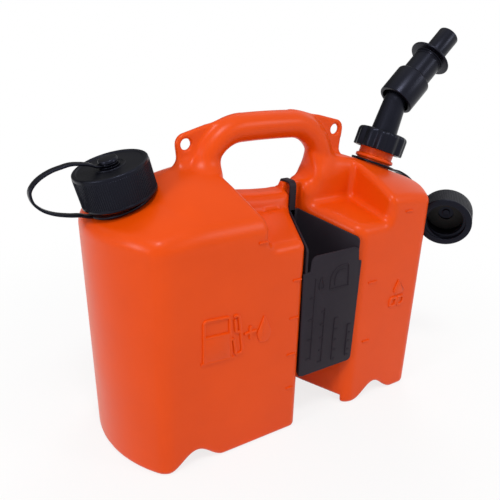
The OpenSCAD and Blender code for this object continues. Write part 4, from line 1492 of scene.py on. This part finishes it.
@dataclass
class PourSpout:
    """Union nut, bent tube, collar, sliding sleeve and tip on the oil neck."""

    nut_r: float = 27.0
    nut_low: float = 15.8
    nut_h: float = 20.8
    nut_lobes: int = 12
    lobe_depth: float = 2.0
    lobe_power: float = 1.6
    nut_edge: Flat = (3.6, 4.5)
    nut_top: float = 3.0
    nut_bore: float = 21.5
    thread_low: float = 16.7
    base_r: float = 14.5
    bend_tube_r: float = 12.5
    bore: float = 10.0
    foot_low: float = 31.3
    foot_h: float = 2.0
    foot_r: float = 20.6
    bend_h: float = 72.4
    bend_r: float = 20.0
    lean: float = math.radians(47)
    tilt: float = math.radians(47 - 20.5)
    seat: Flat = (8.0, 10.0)
    collar_r: float = 19.5
    collar_in: float = 16.05
    collar_l: float = 32.0
    slider_r: float = 15.7
    slider_low: float = 24.0
    slider_bore: float = 13.3
    slider_floor: Flat = (40.3, 43.3)
    floor_r: float = 9.7
    groove_r: float = 14.32
    groove_half: float = 0.96
    groove_up: float = 4.0
    flange_r: float = 22.8
    flange: tuple[float, float] = (59.3, 62.0)
    tip_r: float = 11.7
    tip_wall: float = 2.0
    tip_low: float = 43.6
    tip_step: float = 62.05
    tip_end: float = 95.0
    valve_seat: Flat = (6.0, 6.3)

    def upper(self) -> Axes:
        """Returns the axes of the upper spout, from the bend outwards."""
        return leaning(OIL_NECK.at(self.bend_h), self.lean)

    def nut(self) -> Shape:
        """Returns the lobed nut."""
        angle = circle(240)
        wave = np.abs(np.sin(self.nut_lobes * angle / 2)) ** self.lobe_power
        r, bore, base, deep = self.nut_r, self.nut_bore, self.base_r, self.lobe_depth
        low, top, (inset, drop) = self.nut_low, self.nut_low + self.nut_h, self.nut_edge
        # Radius, height and depth of the lobes of each ring
        rows = [(bore, low, 0), (r - 0.8, low, deep), (r - 0.2, low + 0.3, deep)]
        rows += [(r, low + 1.0, deep), (r, top - drop, deep)]
        for k in range(1, 8):
            a = math.pi / 2 * k / 7
            out, up = inset * (1 - math.cos(a)), drop * math.sin(a)
            rows.append((r - out, top - drop + up, deep * math.cos(a)))
        rows += [(base + 3.2, top, 0), (base + 0.8, top - 0.3, 0), (base + 0.3, top - 0.8, 0)]
        rows += [(base + 0.3, top - self.nut_top, 0), (bore, top - self.nut_top, 0)]
        rings = []
        for radius, z, depth in rows:
            out = radius - depth * (1 - wave)
            ring = [out * np.cos(angle), out * np.sin(angle), np.full(len(angle), z)]
            rings.append(np.column_stack(ring))
        thread = THREAD.wound(bore, self.thread_low + THREAD.pitch / 2, -1)
        return loft(rings, around=True).join(thread)

    def elbow(self) -> Shape:
        """Returns the bent tube with its foot and the flange that carries the collar."""
        leg = self.bend_r * math.tan(self.tilt / 2)
        low, knee = self.foot_low, self.bend_h - leg
        # Middle, tilt and radius of each ring of the tube
        steps: list[tuple[np.ndarray, float, float]] = []
        for z in np.linspace(low + self.foot_h, knee, 10):
            share = (z - low) / (knee - low)
            r = self.base_r + (self.bend_tube_r - self.base_r) * share
            steps.append((np.array([0, 0, z]), 0.0, r))
        for k in range(1, 13):
            a = self.tilt * k / 12
            run, up = self.bend_r * (1 - math.cos(a)), self.bend_r * math.sin(a)
            steps.append((np.array([run, 0, knee + up]), a, self.bend_tube_r))
        way = np.array([math.sin(self.tilt), 0, math.cos(self.tilt)])
        foot, bend = np.array([0, 0, low]), np.array([0, 0, self.bend_h])
        seat, end = self.seat
        steps.append((bend + way * (seat - 0.1), self.tilt, self.bend_tube_r + 0.1))
        rows = [(foot, 0, self.foot_r), (foot + [0, 0, self.foot_h], 0, self.foot_r), *steps]
        flange_r = self.collar_in - 0.05
        for up, r in ((seat, flange_r), (end, flange_r), (end, self.bore + 0.3)):
            rows.append((bend + way * up, self.tilt, r))
        rows += [(middle, a, self.bore) for middle, a, _ in reversed(steps)]
        rows.append((foot, 0, self.bore))
        turn = circle(64)[:, None]
        rings = []
        for middle, a, r in rows:
            across = np.array([math.cos(a), 0, -math.sin(a)])
            rings.append(middle + r * (np.cos(turn) * across + np.sin(turn) * np.array([0, 1, 0])))
        return loft(rings, around=True)

    def collar(self) -> Shape:
        """Returns the collar on the upper axes."""
        r, inner, high = self.collar_r, self.collar_in, self.collar_l
        return lathe(rounded([(inner, -1, 0.4), (r, -1, 1.0), (r, high, 2.4), (inner, high, 0.5)]))

    def slider(self) -> Shape:
        """Returns the sliding sleeve with its flange, on the upper axes."""
        r, (low, high), socket = self.slider_r, self.flange, self.tip_r - 0.45
        bore, start, (under, floor) = self.slider_bore, self.slider_low, self.slider_floor
        middle = start + self.groove_up
        groove = (middle - self.groove_half, middle + self.groove_half)
        profile = [
            (bore, start, 0.3), (r, start, 0.5), (r, groove[0], 0), (self.groove_r, groove[0], 0),
            (self.groove_r, groove[1], 0), (r, groove[1], 0), (r, low - 3.2, 0),
            (r + 0.5, low - 2.8, 0.2), (r + 0.5, low, 0.8), (self.flange_r, low + 0.3, 0.9),
            (self.flange_r, high, 0.9), (socket, high, 0.3), (socket, floor, 0),
            (self.floor_r, floor, 0), (self.floor_r, under, 0), (bore, under, 0),
        ]
        return lathe(rounded(profile))

    def tip(self) -> Shape:
        """Returns the tip on the upper axes, with the seat of the valve."""
        r, inner, end = self.tip_r, self.tip_r - self.tip_wall, self.tip_end
        plug, low, step = r - 0.5, self.tip_low, self.tip_step
        seat_r, seat = self.valve_seat[0], end - self.valve_seat[1]
        profile = [
            (plug, low, 0), (plug, step, 0), (r, step, 0.3), (r, end, 0.9), (inner, end, 0.6),
            (inner, seat, 0), (seat_r, seat, 0.2), (seat_r, seat - 2, 0.2), (inner, seat - 2, 0),
            (inner, low, 0),
        ]
        return lathe(rounded(profile))

    def build(self) -> None:
        """Makes the spout's pieces and puts them on the frame."""
        upper = self.upper()
        for name, shape, axes, body in (
            ("spout_nut", self.nut(), OIL_NECK, "spout_nut"),
            ("spout_elbow", self.elbow(), OIL_NECK, "spout_tube"),
            ("spout_collar", self.collar(), upper, "spout_tube"),
            ("spout_slider", self.slider(), upper, "spout_slider"),
            ("spout_tip", self.tip(), upper, "spout_slider"),
        ):
            piece = shape.placed(axes).piece(name, BLACK)
            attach(piece, body)
            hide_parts(name)
        ReturnSpring().build(upper)


@dataclass
class ReturnSpring:
    """The wound spring that pushes the sleeve out, on the spout's upper axes."""

    r: float = 12.4
    wire: float = 1.4
    low: float = 10.3
    high: float = 40.0
    turns: int = 7
    travel: float = 12.0

    def build(self, upper: Axes) -> None:
        """Makes the spring and puts it on the frame; the real spring shortens as the sleeve slides
        in, and this one keeps its length.

        Args:
            upper: Axes of the upper spout.
        """
        angle, half = np.linspace(0, TURN * self.turns, self.turns * 36 + 1), self.wire / 2
        rise = np.linspace(self.low + half, self.high - half, len(angle))
        path = np.column_stack([self.r * np.cos(angle), self.r * np.sin(angle), rise])
        section = [(half * math.cos(a), half * math.sin(a)) for a in circle(10)]
        outs = np.column_stack([np.cos(angle), np.sin(angle), np.zeros(len(angle))])
        spring = swept(path, section, outs).placed(upper).piece("spout_spring", STEEL)
        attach(spring, "spout_tube")
        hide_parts("spout_spring")
        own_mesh(spring)


# Studio

WHITE = (1, 1, 1, 1)


def sees_white(tree: bpy.types.NodeTree) -> tuple[bpy.types.NodeSocket, bpy.types.NodeSocket]:
    """Adds the nodes that tell which rays see white surroundings.

    Args:
        tree: Tree of the world or of the floor's material.

    Returns:
        One for camera, transmission and glossy rays, and one for glossy rays alone.
    """
    path = add_node(tree, "ShaderNodeLightPath").outputs
    seen = path["Is Camera Ray"]
    for ray in ("Is Transmission Ray", "Is Glossy Ray"):
        both = {0: seen, 1: path[ray]}
        seen = add_node(tree, "ShaderNodeMath", both, operation="MAXIMUM").outputs[0]
    return seen, path["Is Glossy Ray"]


@dataclass
class Studio:
    """Camera at the photograph's place, soft lamps, white surroundings and a pale floor."""

    camera_at: Point = (-0.3266, -0.4735, 0.397)
    right: Point = (0.83964, -0.54245, 0.02758)
    down: Point = (-0.18136, -0.32785, -0.92716)
    ahead: Point = (0.51198, 0.77347, -0.37366)
    lens: float = 43.903
    sensor: float = 36.0
    clip: Flat = (0.01, 20)
    aim: Point = (0, 0, 0.15)
    light: float = 0.42
    far_from: Flat = (0.4, 0.85)
    far_dim: float = 0.85
    floor_half: float = 6.0
    floor_z: float = -0.0005
    floor_grey: float = 0.9
    shadow_from: Flat = (0.15, 0.6)
    shadow_white: float = 0.8

    def camera(self) -> None:
        """Places the camera."""
        data = bpy.data.cameras.new("camera")
        data.lens, data.sensor_width = self.lens, self.sensor
        data.clip_start, data.clip_end = self.clip
        made = bpy.data.objects.new("camera", data)
        rows = Matrix((self.right, [-v for v in self.down], [-v for v in self.ahead])).transposed()
        made.matrix_world = Matrix.Translation(self.camera_at) @ rows.to_4x4()
        bpy.context.scene.collection.objects.link(made)
        bpy.context.scene.camera = made

    def lamp(self, name: str, at: Point, power: float, size: float, shines: bool = True) -> None:
        """Adds one soft lamp that faces the object, and shows in reflections or not."""
        data = bpy.data.lights.new(name, "AREA")
        data.energy, data.shape, data.size = power, "DISK", size
        made = bpy.data.objects.new(name, data)
        made.location, made.visible_glossy = at, shines
        way = Vector(self.aim) - Vector(at)
        made.rotation_euler = way.to_track_quat("-Z", "Y").to_euler()
        bpy.context.scene.collection.objects.link(made)

    def surroundings(self) -> None:
        """Makes the world: white to the eye, with a dim far side in reflections, and soft light."""
        world = bpy.data.worlds.new("white_room")
        bpy.context.scene.world = world
        world.use_nodes = True
        tree = world.node_tree
        tree.nodes.clear()
        seen, glossy = sees_white(tree)
        way = add_node(tree, "ShaderNodeTexCoord").outputs["Generated"]
        far = add_node(tree, "ShaderNodeSeparateXYZ", {"Vector": way}).outputs["Y"]
        low, high = self.far_from
        ranges = {"From Min": low, "From Max": high, "To Min": 0.0, "To Max": -self.far_dim}
        dim = add_node(tree, "ShaderNodeMapRange", {"Value": far, **ranges}).outputs["Result"]
        shown = add_node(
            tree, "ShaderNodeMath", {0: dim, 1: glossy, 2: 1.0}, operation="MULTIPLY_ADD"
        ).outputs[0]
        lit, white = (
            add_node(tree, "ShaderNodeBackground", {"Color": WHITE, "Strength": power}).outputs[0]
            for power in (self.light, shown)
        )
        mixed = add_node(tree, "ShaderNodeMixShader", {0: seen, 1: lit, 2: white}).outputs[0]
        add_node(tree, "ShaderNodeOutputWorld", {"Surface": mixed})

    def floor(self) -> None:
        """Lays a pale floor that keeps a faint shadow."""
        mesh, half = bpy.data.meshes.new("floor"), self.floor_half
        corners = [(-half, -half, 0), (half, -half, 0), (half, half, 0), (-half, half, 0)]
        mesh.from_pydata(corners, [], [(0, 1, 2, 3)])
        made = bpy.data.objects.new("floor", mesh)
        made.location.z = self.floor_z
        bpy.context.scene.collection.objects.link(made)
        mesh.materials.append(self.floor_paint())

    def floor_paint(self) -> bpy.types.Material:
        """Builds the floor's material: white to the eye, and matt where the shadow falls."""
        paint = bpy.data.materials.new("Pale_floor")
        paint.use_nodes = True
        tree = paint.node_tree
        tree.nodes.clear()
        seen, _ = sees_white(tree)
        place = add_node(tree, "ShaderNodeTexCoord").outputs["Object"]
        away = add_node(tree, "ShaderNodeVectorMath", {0: place}, operation="LENGTH")
        low, high = self.shadow_from
        ranges = {"From Min": low, "From Max": high, "To Min": self.shadow_white, "To Max": 1.0}
        fade = add_node(
            tree,
            "ShaderNodeMapRange",
            {"Value": away.outputs["Value"], **ranges},
            interpolation_type="SMOOTHSTEP",
        ).outputs["Result"]
        share = add_node(
            tree, "ShaderNodeMath", {0: seen, 1: fade}, operation="MULTIPLY"
        ).outputs[0]
        grey = (self.floor_grey,) * 3 + (1,)
        matt = add_node(tree, "ShaderNodeBsdfDiffuse", {"Color": grey}).outputs[0]
        white = add_node(tree, "ShaderNodeEmission", {"Color": WHITE, "Strength": 1.0}).outputs[0]
        mixed = add_node(tree, "ShaderNodeMixShader", {0: share, 1: matt, 2: white}).outputs[0]
        add_node(tree, "ShaderNodeOutputMaterial", {"Surface": mixed})
        return paint

    def build(self) -> None:
        """Makes the studio; lamps have a place in metres, watts and a width."""
        bpy.context.scene.view_settings.view_transform = "Standard"
        self.camera()
        self.surroundings()
        self.floor()
        self.lamp("key", (-0.4, -0.7, 1.6), 11, 0.4)
        self.lamp("side", (-1.4, -0.3, 0.7), 5.5, 0.4)
        self.lamp("fill", (0.9, -1.3, 1.0), 4.5, 0.5)
        self.lamp("back", (0.8, 0.9, 1.2), 6, 0.8, shines=False)


def dress_frame() -> None:
    """Gives the CAD nodes that stay their finishes."""
    kept = {
        RUBBER: ("fuel_cap_gasket", "oil_cap_gasket", "spout_gasket", "spout_o_ring"),
        BLACK: ("spout_valve", "spout_vent_tube"),
    }
    for finish, names in kept.items():
        for name in names:
            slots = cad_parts[name].data.materials
            slots.clear()
            slots.append(PAINTS.get(finish))
            LOG.info("%s: kept from the frame", name)


def main() -> None:
    """Builds the object piece by piece."""
    logging.basicConfig(level=logging.INFO, format="%(message)s")
    Studio().build()
    dress_frame()
    body = BodyMoulding()
    body.build()
    FrontMarks(body).build()
    down = tuple(-v for v in FUEL_NECK.along)
    ScrewCap(
        "fuel_cap",
        "fuel_cap",
        Axes(FUEL_NECK.at(FUEL_CAP_TOP), down, FUEL_NECK.across),
        diameter=66,
        height=29.36,
        thread_r=26.0,
        thread_low=11.05,
        ribs=110,
    ).build()
    FuelTether().build()
    ScrewCap(
        "oil_cap",
        "oil_cap",
        OIL_CAP,
        diameter=56,
        height=25,
        thread_r=21.0,
        thread_low=14.0,
        ribs=100,
    ).build()
    OilTether().build(OIL_CAP)
    PourSpout().build()
    ToolTray().build()


if __name__ == "__main__":
    main()
